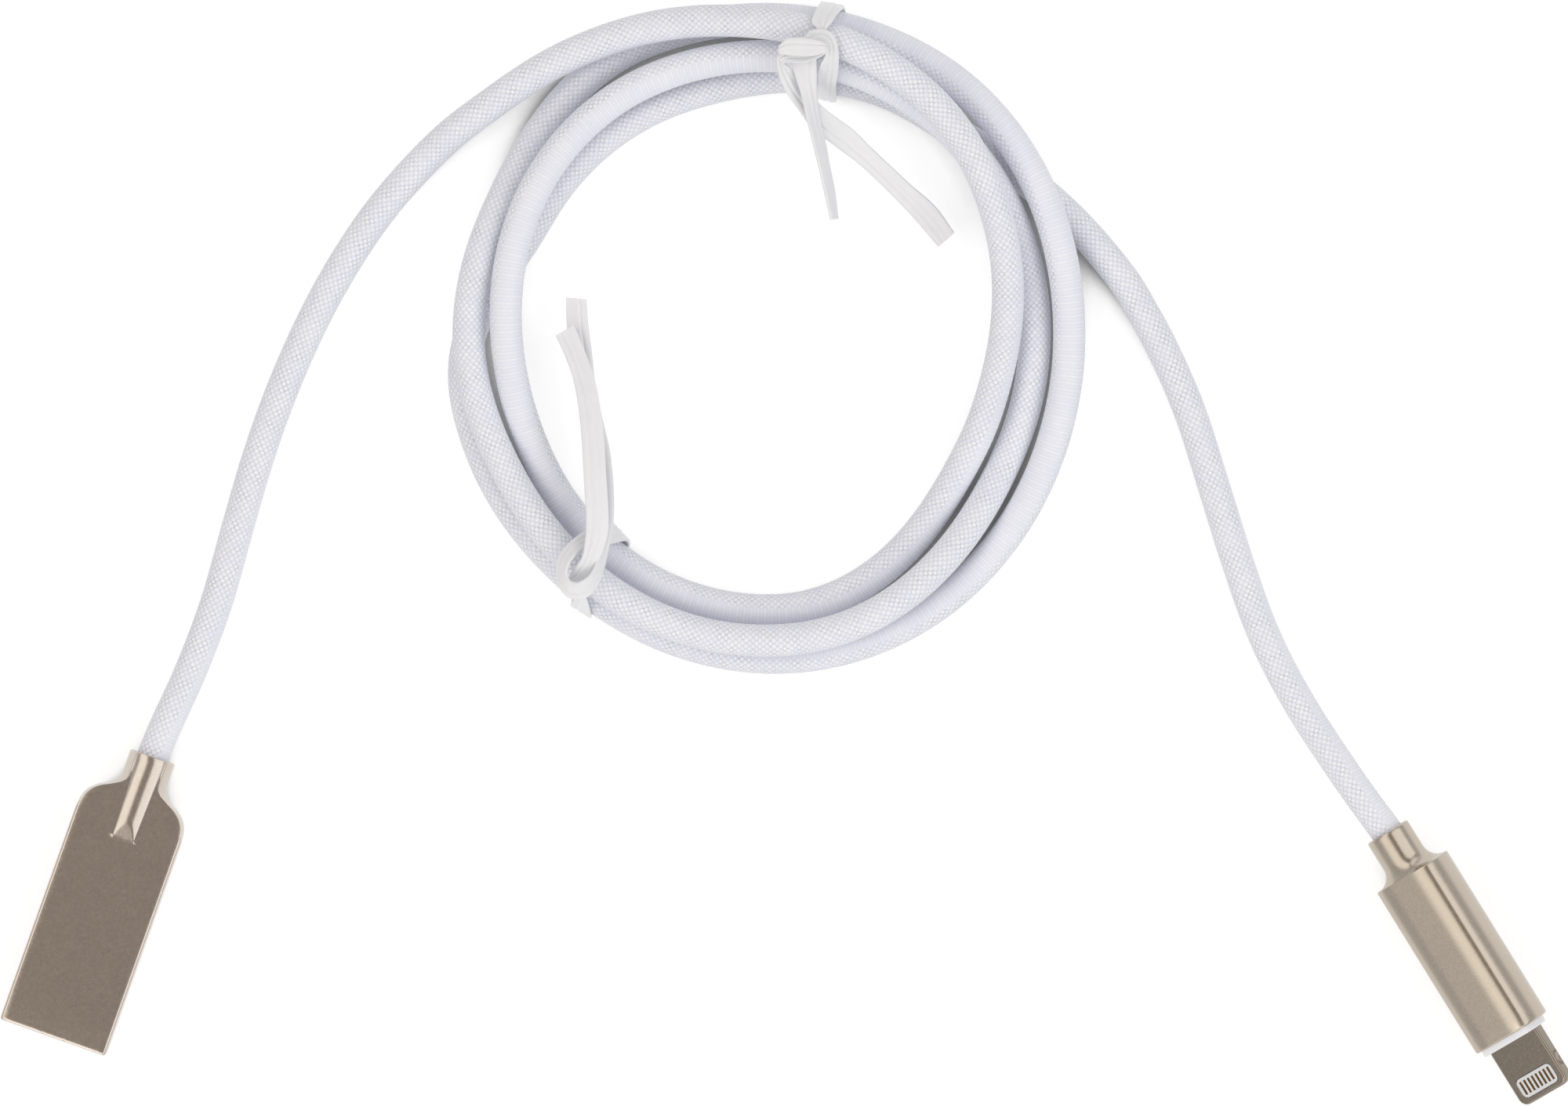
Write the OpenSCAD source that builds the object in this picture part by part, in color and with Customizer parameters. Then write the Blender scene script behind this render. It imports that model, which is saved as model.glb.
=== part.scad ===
// Charging cable: a braided cord with a flat charger plug on one end and a
// reversible tab plug on the other, stored as a coil held by two wire ties.
// The cable lies on a surface at z = 0. Each plug has a frame of its own: the
// cord leaves it at the origin along +Y, and its mouth faces -Y.

/* [Cord] */
// Diameter of the braided cord
cord_d = 3.5; // [3.2:0.1:3.6]
// Clear space left between turns that cross
turn_gap = 0.45; // [0.4:0.05:0.6]
// Diameter of one insulated wire inside the cord
wire_d = 0.7; // [0.5:0.05:0.75]

/* [Charger plug] */
// Width of the flat body
charger_w = 12; // [11.8:0.1:14]
// Thickness of the flat body
charger_t = 4.5; // [4.3:0.1:4.8]
// Length from the cord exit to the mouth
charger_len = 32.1; // [30:0.1:40]
// Diameter of the round neck
charger_neck_d = 5.05; // [4.9:0.05:5.4]
// Straight length of the neck before the shoulders flare
charger_neck_len = 2.9; // [2:0.1:4]
// Radius of the hollow curve between neck and shoulder
charger_flare_r = 1.6; // [1:0.1:2]
// Slope of the shoulder, in degrees
charger_slope = 30; // [20:1:40]
// Radius of the shoulder's outer corner
charger_corner_r = 3; // [2:0.1:3.5]
// Length of the ridge that carries the neck onto the flat face
ridge_len = 9.4; // [8.8:0.1:12]
// Wall of the flat body
charger_wall = 0.4; // [0.35:0.05:0.5]
// Depth of the mouth in front of the contact block
mouth_depth = 12; // [11.5:0.1:13]
// Length of the contact block behind the mouth
block_len = 3; // [2:0.1:4]
// Thickness of the contact tongue
tongue_t = 1.85; // [1.7:0.05:1.95]

/* [Phone plug] */
// Diameter of the round barrel
barrel_d = 8.8; // [8.5:0.1:10]
// Width across the two flats of the barrel
barrel_flat = 5.8; // [5.6:0.1:6.4]
// Length from the cord exit to the barrel's mouth
barrel_len = 25.45; // [25:0.05:32]
// Diameter of the barrel's round neck
barrel_neck_d = 5; // [4.8:0.1:5.5]
// Length from the cord exit to the rim of the barrel
barrel_rim_at = 5.05; // [4.5:0.05:6]
// Wall of the barrel
barrel_wall = 0.55; // [0.45:0.05:0.6]
// Length of the white collar that shows in front of the barrel
collar_show = 0.75; // [0.5:0.05:1.5]
// Width of the tab
tab_w = 6.7; // [6.4:0.1:7]
// Thickness of the tab
tab_t = 1.5; // [1.45:0.05:1.7]
// Length of the tab that shows in front of the collar
tab_show = 6.85; // [6.5:0.05:8]
// Width of the contact window in the tab
window_w = 4.9; // [4.7:0.05:5.1]
// Length of the contact window in the tab
window_len = 2.25; // [2:0.05:2.6]
// Width of one contact in the window
pin_w = 0.3; // [0.2:0.01:0.34]
// Distance from one contact to the next
pin_pitch = 0.56; // [0.5:0.01:0.58]
// Thickness of the circuit board
board_t = 0.75; // [0.6:0.05:0.8]

/* [Twist ties] */
// Width of the ribbon
tie_w = 2.5; // [2:0.1:3]
// Thickness of the ribbon
tie_t = 0.6; // [0.5:0.05:0.7]
// Diameter of the steel wire in the ribbon
tie_wire_d = 0.35; // [0.2:0.05:0.4]
// Clear space between the ribbon and the cord
tie_gap = 0.1; // [0.05:0.05:0.2]

/* [Hidden] */
$fn = 48;
eps = 0.01;
// Reach of a cutting solid past the face that it cuts
over = 1;

// Colours
metal = [0.56, 0.52, 0.47];
bright_metal = [0.66, 0.62, 0.55];
tab_metal = [0.53, 0.5, 0.47];
gold = [0.72, 0.55, 0.26];
white = [0.93, 0.93, 0.94];
cord_white = [0.88, 0.88, 0.93];
glue = [0.85, 0.83, 0.76];
steel = [0.6, 0.6, 0.62];
tin = [0.75, 0.75, 0.77];

// Where each plug's cord exit is, and how the plug is turned
charger_at = [-67.95, 18.2];
charger_turn = -19.6;
phone_at = [64.9, 10.1];
phone_turn = 31.75;
phone_roll = -33;

// Cord bore and the cord's hold in each plug
bore_d = cord_d + 0.2;
charger_hold = 7;
crimp_len = 1.2;
crimp_wall = 0.3;
phone_hold = 9;

// How far the flat body reaches past the neck, below it, and starts within its side
neck_sunk = 0.05;

// Heights inside the charger plug, from the neck's axis
charger_axis_z = charger_neck_d / 2 + neck_sunk;
charger_floor = -charger_axis_z;
charger_roof = charger_floor + charger_t;
cavity_w = charger_w - 2 * charger_wall;
cavity_z = charger_floor + charger_wall;
cavity_h = charger_t - 2 * charger_wall;
chamber_at = charger_hold + crimp_len;
block_at = charger_len - mouth_depth - block_len;

// The shoulder: start and end of the hollow curve, and the centre of the corner
flare_x = charger_neck_d / 2 - neck_sunk;
flare_end_x = flare_x + charger_flare_r * (1 - sin(charger_slope));
flare_end_y = -charger_neck_len - charger_flare_r * cos(charger_slope);
corner_x = charger_w / 2 - charger_corner_r;
corner_start_x = corner_x + charger_corner_r * sin(charger_slope);
corner_start_y = flare_end_y - (corner_start_x - flare_end_x) * tan(charger_slope);
corner_y = corner_start_y - charger_corner_r * cos(charger_slope);
arc_steps = 8;
// Angle of the ridge's slanting end
ridge_slant = 12;

// Contacts of the charger plug: place across, and setback from the mouth
contact_w = 1;
contact_t = 0.25;
contact_proud = 0.1;
contact_tail = 2;
contacts = [[-3.5, 1.3], [-1, 2.3], [1, 2.3], [3.5, 1.3]];
tongue_setback = 0.4;
tongue_side_gap = 0.1;
tongue_top = cavity_z + tongue_t;

// Solder joints
solder_len = 1.3;
solder_d = 1.1;

// Wires inside the cord stand two by two
bundle = 0.5;

// The phone plug
barrel_axis_z = barrel_d / 2 * cos(max(0, acos(barrel_flat / barrel_d) - abs(phone_roll)));
bore_end = barrel_rim_at + 1.4;
rim_step = 0.12;
barrel_flare_r = (barrel_d - barrel_neck_d) / 2 - rim_step;
collar_gap = 0.03;
collar_len = 5;
tip_at = barrel_len + collar_show + tab_show;
tab_hidden = 4.6;
tip_r = 1;
window_setback = 0.7;
window_r = 0.6;
notch_at = 2.85;
notch_r = 1.6;
notch_depth = 0.3;
pin_len = 1.55;
pin_count = 8;
pin_sunk = 0.04;
pin_top = tab_t / 2 - pin_sunk;
board_w = window_w - 0.1;
board_gap = 0.03;
board_at = phone_hold + 4;
// Depth of the middle of the bare board, between the joints and the collar
board_middle = (board_at + solder_len + barrel_len - collar_len) / 2;
chip = [3, 3, 0.9];
capacitor = [0.6, 1, 0.5];
pad_pitch = 1.15;
pads = [for (i = [-1.5 : 1.5]) i * pad_pitch];

// The coil. Its angle runs clockwise from +Y and grows along the cord. Each row
// draws the turn out or in, or lifts it by layers: from angle, to angle, change.
coil_at = [-2.1, 62.95];
rings_per_turn = 24;
coil_from = -45;
coil_turns = 80 / 24;
coil_start_r = 41.6;
coil_draws = [
    [-90, 2, -6.7], [-24, 66, -4.8], [30, 109, -5], [117, 176, 4], [174, 284, -2.4],
    [240, 336, 3.9], [371, 468, -1.6], [473, 534, 3.3], [543, 605, -1.3], [599, 636, 0.9],
    [653, 698, 2.8], [750, 813, -1.9], [818, 885, 1.5], [888, 950, -1.5], [980, 1018, -5],
    [1064, 1117, 2.3], [1114, 1214, 20.1]
];
coil_lifts = [
    [-75, -15, 1], [-25, 18, 1], [47, 97, -1.4], [105, 135, -0.6], [220, 282, 1.5],
    [295, 325, -0.5], [407, 445, -1], [470, 515, 1], [645, 675, -1], [728, 768, 1],
    [785, 815, -0.5], [820, 855, -0.5]
];
// The turns rise over the two ties' ribbons, which lie on the surface
tie_angles = [12, 217];
tie_hump = 30;
tie_flat = 6;
tie_lift = tie_gap + tie_t;
// Thickness of the ribbon's edges, and width of the rib over its wire
tie_edge = 0.35;
tie_rib = 0.9;
layer = cord_d + turn_gap;

// Free stretches of the cord, from plug to coil and from coil to plug
charger_route = [
    [-66.6, 21.5, 2.5], [-64.4, 26.2, 2.1], [-61.3, 34.2, 1.8], [-58.9, 42.7, 1.75],
    [-56.3, 51.5, 1.75], [-53.1, 60, 1.75], [-49, 68.5, 1.75], [-43.6, 76.9, 1.75],
    [-37.3, 83.9, 1.9]
];
phone_route = [
    [38.4, 66.5, 1.75], [40.2, 63.3, 1.75], [43.6, 55.7, 1.75], [46.3, 47.3, 1.75],
    [48.9, 39, 1.75], [51.8, 31, 1.75], [55.6, 23.7, 2.1], [60, 16.9, 3.1], [62.7, 13, 3.95]
];

// Hand-laid stretches of the ties, outside the part that goes round the turns:
// points, and the ribbon's roll from lying flat, in degrees
top_tie_before = [
    [17.4, 73.9, 2.6, 20], [13.6, 77.6, 4.8, 20], [9.8, 81, 6.8, 15], [6.2, 83.8, 8.8, 10],
    [2.9, 86.3, 10.6, 10], [0.5, 89.6, 12.2, 20], [-0.3, 93, 13.2, 30], [1, 95.3, 14, 20],
    [3.2, 95.6, 14.1, 0], [4.9, 94.6, 13.3, 0]
];
top_tie_after = [
    [4, 96, 12.8, 0], [2.9, 94.6, 12.9, 0], [2.2, 92.6, 12.9, 0], [2.4, 89.4, 12.4, 15],
    [3, 85.4, 11, 40], [3.9, 80.9, 8.6, 65], [5.3, 76.2, 5.6, 75]
];
bottom_tie_before = [
    [-22.2, 67.6, 4.4, 0], [-21.6, 62.8, 5.6, 5], [-20.6, 57.6, 7, 10], [-19.5, 52.2, 8.2, 15],
    [-18.9, 46.8, 9.2, 20], [-19.3, 42.4, 9.8, 15], [-21, 38.8, 10, 0], [-23, 37, 10.4, 0],
    [-24.2, 38.6, 11, 0], [-23.4, 41.4, 11.2, 0], [-21.4, 42.6, 10.6, 0]
];
bottom_tie_after = [
    [-21.6, 38.4, 9.6, 0], [-20.3, 42.2, 10.9, 15], [-19.7, 46.8, 10.3, 20], [-20.3, 52.2, 9.3, 15],
    [-21.4, 57.6, 8.2, 10], [-22.4, 61.4, 7.2, 5], [-23.4, 64, 6.4, 0]
];

// Vectors
function unit(v) = v / norm(v);
function last(list) = list[len(list) - 1];
function heading(points, i) = unit(points[min(i + 1, len(points) - 1)] - points[max(i - 1, 0)]);

// One ring of a round tube, its first corner down
function round_ring(p, along, r, sides) =
    let (
        side = unit(cross([0, 0, 1], along)),
        up = cross(along, side)
    )
    [for (k = [0 : sides - 1]) p + r * (sin(360 * k / sides) * side - cos(360 * k / sides) * up)];

// One ring of a closed or flat section, across being the way over its width
function section_ring(p, along, across, section) =
    let (
        wide = unit(across - (across * along) * along),
        thick = cross(along, wide)
    )
    [for (s = section) p + s[0] * wide + s[1] * thick];

// Faces of a wall through rings of equal size, of which the first is number from
function wall_faces(sides, count, from, inward) = [
    for (i = [0 : count - 2], k = [0 : sides - 1])
        let (
            a = from + i * sides + k,
            b = from + i * sides + (k + 1) % sides,
            c = b + sides,
            d = a + sides
        )
        each (inward ? [[a, c, b], [a, d, c]] : [[a, b, c], [a, c, d]])
];

// A solid through rings of equal size, with flat ends
module rings_solid(rings) {
    sides = len(rings[0]);
    end = (len(rings) - 1) * sides;
    caps = [
        for (k = [1 : sides - 2])
            each [[0, k + 1, k], [end, end + k, end + k + 1]]
    ];
    polyhedron(
        points = [for (r = rings) each r],
        faces = concat(wall_faces(sides, len(rings), 0, false), caps),
        convexity = 10
    );
}

// A solid between two walls, open along its middle, with flat ends
module skin_solid(outer, inner) {
    sides = len(outer[0]);
    count = len(outer);
    size = sides * count;
    ends = [
        for (k = [0 : sides - 1])
            let (j = (k + 1) % sides, o = size - sides)
            each [
                [k, size + j, j], [k, size + k, size + j],
                [o + k, o + j, o + size + j], [o + k, o + size + j, o + size + k]
            ]
    ];
    polyhedron(
        points = concat([for (r = outer) each r], [for (r = inner) each r]),
        faces = concat(
            wall_faces(sides, count, 0, false),
            wall_faces(sides, count, size, true),
            ends
        ),
        convexity = 10
    );
}

module cord_tube(points, sides) {
    rings_solid([for (i = [0 : len(points) - 1])
        round_ring(points[i], heading(points, i), cord_d / 2, sides)]);
}

// Route of the coil
function smooth(t) = let (u = max(0, min(1, t))) u * u * (3 - 2 * u);
function change(rows, a) = [for (m = rows) m[2] * smooth((a - m[0]) / (m[1] - m[0]))] * [for (m = rows) 1];
function turned_from(a, mid) = abs((a - mid + 900) % 360 - 180);
function hump(a) = max([for (t = tie_angles) smooth((tie_hump - turned_from(a, t)) / (tie_hump - tie_flat))]);
function coil_r(a) = coil_start_r + change(coil_draws, a);
function coil_z(a) = cord_d / 2 + layer * change(coil_lifts, a) + tie_lift * hump(a);
function coil_point(a) = [coil_at[0] + coil_r(a) * sin(a), coil_at[1] + coil_r(a) * cos(a), coil_z(a)];
function coil_way(a) = unit(coil_point(a + 1) - coil_point(a - 1));
coil_step = 360 / rings_per_turn;
coil_to = coil_from + 360 * coil_turns;
coil_rings = [for (a = [coil_from : coil_step : coil_to + eps]) coil_point(a)];
coil_in = coil_way(coil_from);
coil_out = coil_way(coil_to);
coil_start = coil_rings[0] - cord_d * coil_in;
coil_end = last(coil_rings) + cord_d * coil_out;
coil_path = concat([coil_start], coil_rings, [coil_end]);

// Least gap of the coil to itself, on four points between one ring and the next
checks_per_ring = 4;
coil_checks = [
    for (i = [0 : len(coil_rings) - 2], k = [0 : checks_per_ring - 1])
        coil_rings[i] + (coil_rings[i + 1] - coil_rings[i]) * k / checks_per_ring
];
half_turn = rings_per_turn * checks_per_ring / 2;
coil_gap = min([
    for (i = [0 : len(coil_checks) - 1 - half_turn])
        min([for (j = [i + half_turn : len(coil_checks) - 1]) norm(coil_checks[i] - coil_checks[j])])
]) - cord_d;
echo(least_gap_of_coil = coil_gap);

// Cord exits of the plugs, and the cord's way out of them
charger_out = [-sin(charger_turn), cos(charger_turn), 0];
charger_exit = [charger_at[0], charger_at[1], charger_axis_z];
phone_out = [-sin(phone_turn), cos(phone_turn), 0];
phone_exit = [phone_at[0], phone_at[1], barrel_axis_z];
charger_lead_path = concat(
    [charger_exit - charger_hold * charger_out, charger_exit],
    charger_route,
    [coil_start - cord_d * coil_in, coil_start]
);
phone_lead_path = concat(
    [coil_end, coil_end + 0.3 * cord_d * coil_out],
    phone_route,
    [phone_exit, phone_exit - phone_hold * phone_out]
);

function path_length(points) =
    [for (i = [1 : len(points) - 1]) norm(points[i] - points[i - 1])] * [for (i = [1 : len(points) - 1]) 1];
echo(cord_between_plugs = path_length(charger_lead_path) + path_length(coil_path)
    + path_length(phone_lead_path) - charger_hold - phone_hold);

module on_charger_plug() {
    translate(charger_exit) rotate([0, 0, charger_turn]) children();
}

module on_phone_plug() {
    translate(phone_exit) rotate([0, 0, phone_turn]) rotate([0, phone_roll, 0]) children();
}

// A round bar along -Y, from one depth to another
module bar(d, from, to) {
    translate([0, -from, 0]) rotate([90, 0, 0]) cylinder(h = to - from, d = d);
}

// A block from one depth to another
module block(w, from, to, z, h) {
    translate([-w / 2, -to, z]) cube([w, to - from, h]);
}

// One wire, a straight run from the cord's end to its joint, cut square at both
module fanned_wire(from, to) {
    run = to - from;
    intersection() {
        translate(from - over * unit(run)) rotate([0, acos(unit(run)[2]), atan2(run[1], run[0])]) {
            cylinder(h = norm(run) + 2 * over, d = wire_d);
        }
        block(charger_w, -from[1], -to[1], -charger_t, 2 * charger_t);
    }
}

// Places of the four wires in the cord: power, data minus, data plus, ground
function bundle_place(i) = [i < 2 ? -bundle : bundle, i == 0 || i == 3 ? bundle : -bundle];

/* Charger plug */

// Points on an arc, both ends among them
function arc(centre, r, from, to) = [
    for (k = [0 : arc_steps])
        let (t = from + (to - from) * k / arc_steps)
        centre + r * [cos(t), sin(t)]
];

module charger_outline() {
    right = concat(
        [[charger_w / 2, -charger_len]],
        arc([corner_x, corner_y], charger_corner_r, 0, 90 - charger_slope),
        arc([flare_x + charger_flare_r, -charger_neck_len], charger_flare_r, 270 - charger_slope, 180)
    );
    left = [for (i = [len(right) - 1 : -1 : 0]) [-right[i][0], right[i][1]]];
    polygon(concat(right, left));
}

module charger_plug_shell() {
    color(metal) on_charger_plug() difference() {
        union() {
            translate([0, 0, charger_floor]) linear_extrude(charger_t) charger_outline();
            difference() {
                bar(charger_neck_d, 0, ridge_len);
                // The ridge ends in a slanting cut that leaves its two edges longest
                translate([-charger_w / 2, -ridge_len, charger_roof]) {
                    rotate([ridge_slant, 0, 0]) cube([charger_w, 3 * ridge_len, charger_neck_d]);
                }
            }
        }
        bar(bore_d, -over, chamber_at + eps);
        block(cavity_w, chamber_at, charger_len + over, cavity_z, cavity_h);
    }
}

module contact_strips() {
    for (c = contacts) {
        translate([c[0] - contact_w / 2, -charger_len + c[1], tongue_top + contact_proud - contact_t]) {
            cube([contact_w, charger_len - c[1] - block_at + contact_tail, contact_t]);
        }
    }
}

module charger_plug_tongue() {
    color(white) on_charger_plug() difference() {
        union() {
            block(cavity_w, block_at, block_at + block_len, cavity_z, cavity_h);
            block(cavity_w - 2 * tongue_side_gap, block_at, charger_len - tongue_setback, cavity_z, tongue_t);
        }
        contact_strips();
    }
}

module charger_plug_contacts() {
    color(gold) on_charger_plug() contact_strips();
}

charger_joint_z = tongue_top + contact_proud + wire_d / 2 + 0.1;
charger_joint_at = block_at - 0.4;

module charger_joints() {
    for (c = contacts) {
        difference() {
            translate([c[0], 0, charger_joint_z]) bar(solder_d, charger_joint_at - solder_len, charger_joint_at);
            translate([c[0], 0, tongue_top + contact_proud - solder_d]) {
                translate([-solder_d, -charger_len, 0]) cube([2 * solder_d, charger_len, solder_d]);
            }
        }
    }
}

module charger_plug_solder() {
    color(tin) on_charger_plug() charger_joints();
}

module charger_wire(i) {
    place = bundle_place(i);
    fanned_wire(
        [place[0], -charger_hold, place[1]],
        [contacts[i][0], -charger_joint_at + solder_len, charger_joint_z]
    );
}

module charger_plug_crimp() {
    color(gold) on_charger_plug() difference() {
        bar(bore_d, charger_hold, chamber_at);
        bar(bore_d - 2 * crimp_wall, charger_hold - over, chamber_at + over);
    }
}

module charger_plug_filler() {
    color(glue) on_charger_plug() difference() {
        block(cavity_w, chamber_at, block_at, cavity_z, cavity_h);
        contact_strips();
        charger_joints();
        for (i = [0 : 3]) {
            charger_wire(i);
        }
    }
}

module charger_power_wire() {
    color("red") on_charger_plug() charger_wire(0);
}

module charger_data_minus_wire() {
    color("white") on_charger_plug() charger_wire(1);
}

module charger_data_plus_wire() {
    color("green") on_charger_plug() charger_wire(2);
}

module charger_ground_wire() {
    color("black") on_charger_plug() charger_wire(3);
}

/* Cord */

module charger_lead() {
    color(cord_white) cord_tube(charger_lead_path, 8);
}

module cord_coil() {
    color(cord_white) cord_tube(coil_path, 6);
}

module phone_lead() {
    color(cord_white) cord_tube(phone_lead_path, 8);
}

/* Phone plug */

// Round section with two flats, from one depth to another
module flatted_bar(d, flat, from, to) {
    intersection() {
        bar(d, from, to);
        block(d, from - over, to + over, -flat / 2, flat);
    }
}

module phone_plug_barrel() {
    flare_at = barrel_rim_at - barrel_flare_r;
    color(bright_metal) on_phone_plug() difference() {
        intersection() {
            rotate([90, 0, 0]) rotate_extrude() difference() {
                union() {
                    square([barrel_neck_d / 2, barrel_rim_at]);
                    translate([0, flare_at]) square([barrel_d / 2 - rim_step, barrel_flare_r + eps]);
                    translate([0, barrel_rim_at]) square([barrel_d / 2, barrel_len - barrel_rim_at]);
                }
                translate([barrel_d / 2 - rim_step, flare_at]) circle(r = barrel_flare_r);
            }
            block(barrel_d, -over, barrel_len + over, -barrel_flat / 2, barrel_flat);
        }
        bar(bore_d, -over, bore_end + eps);
        flatted_bar(barrel_d - 2 * barrel_wall, barrel_flat - 2 * barrel_wall, bore_end, barrel_len + over);
    }
}

module phone_plug_collar() {
    inset = 2 * (barrel_wall + collar_gap);
    color(white) on_phone_plug() difference() {
        flatted_bar(barrel_d - inset, barrel_flat - inset, barrel_len - collar_len, barrel_len + collar_show);
        block(tab_w, barrel_len + collar_show - tab_hidden, tip_at, -tab_t / 2, tab_t);
        board_block(board_gap);
    }
}

module window_shape() {
    w = window_w / 2 - window_r;
    y = -tip_at + window_setback + window_r;
    h = window_len - 2 * window_r;
    translate([-w - window_r, y]) square([2 * w + 2 * window_r, h]);
    translate([-w, y - window_r]) square([2 * w, h + 2 * window_r]);
    for (x = [-w, w], dy = [0, h]) {
        translate([x, y + dy]) circle(r = window_r);
    }
}

module tab_outline() {
    back = barrel_len + collar_show - tab_hidden;
    translate([-tab_w / 2, -tip_at + tip_r]) square([tab_w, tip_at - back - tip_r]);
    translate([-tab_w / 2 + tip_r, -tip_at]) square([tab_w - 2 * tip_r, tip_r + eps]);
    for (side = [-1, 1]) {
        translate([side * (tab_w / 2 - tip_r), -tip_at + tip_r]) circle(r = tip_r);
    }
}

module phone_plug_tab() {
    color(tab_metal) on_phone_plug() difference() {
        translate([0, 0, -tab_t / 2]) linear_extrude(tab_t) tab_outline();
        translate([0, 0, -tab_t]) linear_extrude(2 * tab_t) window_shape();
        board_block(board_gap);
        for (side = [-1, 1]) {
            translate([side * (tab_w / 2 + notch_r - notch_depth), -tip_at + notch_at, -tab_t]) {
                cylinder(h = 2 * tab_t, r = notch_r);
            }
        }
    }
}

// The board reaches from the joints to the front of the window
module board_block(gap) {
    block(board_w + 2 * gap, board_at, tip_at - window_setback - window_r, -board_t / 2 - gap, board_t + 2 * gap);
}

module pins(top) {
    y = -tip_at + window_setback + (window_len - pin_len) / 2;
    for (i = [0 : pin_count - 1]) {
        translate([(i - (pin_count - 1) / 2) * pin_pitch - pin_w / 2, y, board_t / 2]) {
            cube([pin_w, pin_len, top - board_t / 2]);
        }
    }
}

// The plate is open over each contact, which lies a little below its face
module window_plate() {
    difference() {
        translate([0, 0, board_t / 2]) linear_extrude(tab_t / 2 - board_t / 2) window_shape();
        pins(tab_t);
    }
}

module phone_plug_windows() {
    color(white) on_phone_plug() {
        window_plate();
        mirror([0, 0, 1]) window_plate();
    }
}

module phone_plug_front_contacts() {
    color(gold) on_phone_plug() pins(pin_top);
}

module phone_plug_back_contacts() {
    color(gold) on_phone_plug() mirror([0, 0, 1]) pins(pin_top);
}

module phone_plug_board() {
    color("darkgreen") on_phone_plug() board_block(0);
}

module chip_block() {
    translate([-chip[0] / 2, -board_middle - chip[1] / 2, board_t / 2]) cube(chip);
}

module phone_plug_chip() {
    color("dimgray") on_phone_plug() chip_block();
}

module capacitor_row() {
    for (x = [-1.4, 0, 1.4]) {
        translate([x - capacitor[0] / 2, -board_middle - capacitor[1] / 2, -board_t / 2 - capacitor[2]]) {
            cube(capacitor);
        }
    }
}

module phone_plug_capacitors() {
    color("tan") on_phone_plug() capacitor_row();
}

phone_joint_z = board_t / 2 + wire_d / 2 + 0.05;

module phone_joints() {
    for (x = pads) {
        difference() {
            translate([x, 0, phone_joint_z]) bar(pad_pitch - 0.15, board_at, board_at + solder_len);
            block(board_w, board_at - over, board_at + 3 * over, board_t / 2 - solder_d, solder_d);
        }
    }
}

module phone_plug_solder() {
    color(tin) on_phone_plug() phone_joints();
}

module phone_wire(i) {
    place = bundle_place(i);
    fanned_wire([place[0], -phone_hold, place[1]], [pads[i], -board_at, phone_joint_z]);
}

module phone_crimp_ring() {
    difference() {
        bar(cord_d + 1, bore_end, phone_hold);
        bar(cord_d + 0.04, bore_end - over, phone_hold + over);
    }
}

module phone_plug_crimp() {
    color(gold) on_phone_plug() phone_crimp_ring();
}

module phone_plug_filler() {
    inner_d = barrel_d - 2 * barrel_wall;
    inner_flat = barrel_flat - 2 * barrel_wall;
    color(glue) on_phone_plug() difference() {
        flatted_bar(inner_d, inner_flat, bore_end, barrel_len - collar_len);
        bar(cord_d + 1, bore_end - over, phone_hold);
        board_block(0);
        chip_block();
        capacitor_row();
        phone_joints();
        for (i = [0 : 3]) {
            phone_wire(i);
        }
    }
}

module phone_power_wire() {
    color("red") on_phone_plug() phone_wire(0);
}

module phone_data_minus_wire() {
    color("white") on_phone_plug() phone_wire(1);
}

module phone_data_plus_wire() {
    color("green") on_phone_plug() phone_wire(2);
}

module phone_ground_wire() {
    color("black") on_phone_plug() phone_wire(3);
}

/* Twist ties */

// Centres of the turns where a tie goes round them, as distance out and height
function strands_at(a) = [
    for (t = [a : 360 : coil_to]) [coil_r(t), coil_z(t)]
];

// Index of the strand that lies farthest along a direction
function farthest(strands, way) =
    let (reach = [for (s = strands) s * way], most = max(reach))
    [for (i = [0 : len(strands) - 1]) if (reach[i] == most) i][0];

// The ribbon's middle line round the turns: from the top, down the inner side,
// under the turns and up the outer side
wrap_from = 115;
wrap_to = 425;
wrap_steps = 18;
function wrap_path(a) =
    let (strands = strands_at(a), out = cord_d / 2 + tie_gap + tie_t / 2)
    [
        for (k = [0 : wrap_steps])
            let (
                turn = wrap_from + (wrap_to - wrap_from) * k / wrap_steps,
                way = [cos(turn), sin(turn)],
                p = strands[farthest(strands, way)] + out * way
            )
            [coil_at[0] + p[0] * sin(a), coil_at[1] + p[0] * cos(a), p[1]]
    ];

// Eight corners of the ribbon's section, a flat strip with a rib over the wire,
// and of the wire's section
ribbon_section = [
    [tie_w / 2, -tie_edge / 2], [tie_w / 2, tie_edge / 2],
    [tie_rib / 2, tie_t / 2], [-tie_rib / 2, tie_t / 2],
    [-tie_w / 2, tie_edge / 2], [-tie_w / 2, -tie_edge / 2],
    [-tie_rib / 2, -tie_t / 2], [tie_rib / 2, -tie_t / 2]
];
wire_section = [for (k = [0 : 7]) tie_wire_d / 2 * [cos(45 * k - 22.5), sin(45 * k - 22.5)]];

// The way across the ribbon where it is laid by hand
function flat_across(along, roll) =
    let (side = unit(cross([0, 0, 1], along)))
    cos(roll) * side + sin(roll) * cross(along, side);

function tie_rings(a, before, after, section) =
    let (
        round = wrap_path(a),
        points = concat([for (p = before) [p[0], p[1], p[2]]], round, [for (p = after) [p[0], p[1], p[2]]]),
        rolls = concat([for (p = before) p[3]], [for (p = round) undef], [for (p = after) p[3]])
    )
    [
        for (i = [0 : len(points) - 1])
            let (
                along = heading(points, i),
                across = is_undef(rolls[i]) ? [cos(a), -sin(a), 0] : flat_across(along, rolls[i])
            )
            section_ring(points[i], along, across, section)
    ];

module tie_ribbon(a, before, after) {
    skin_solid(
        tie_rings(a, before, after, ribbon_section),
        tie_rings(a, before, after, wire_section)
    );
}

module tie_core(a, before, after) {
    rings_solid(tie_rings(a, before, after, wire_section));
}

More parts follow.
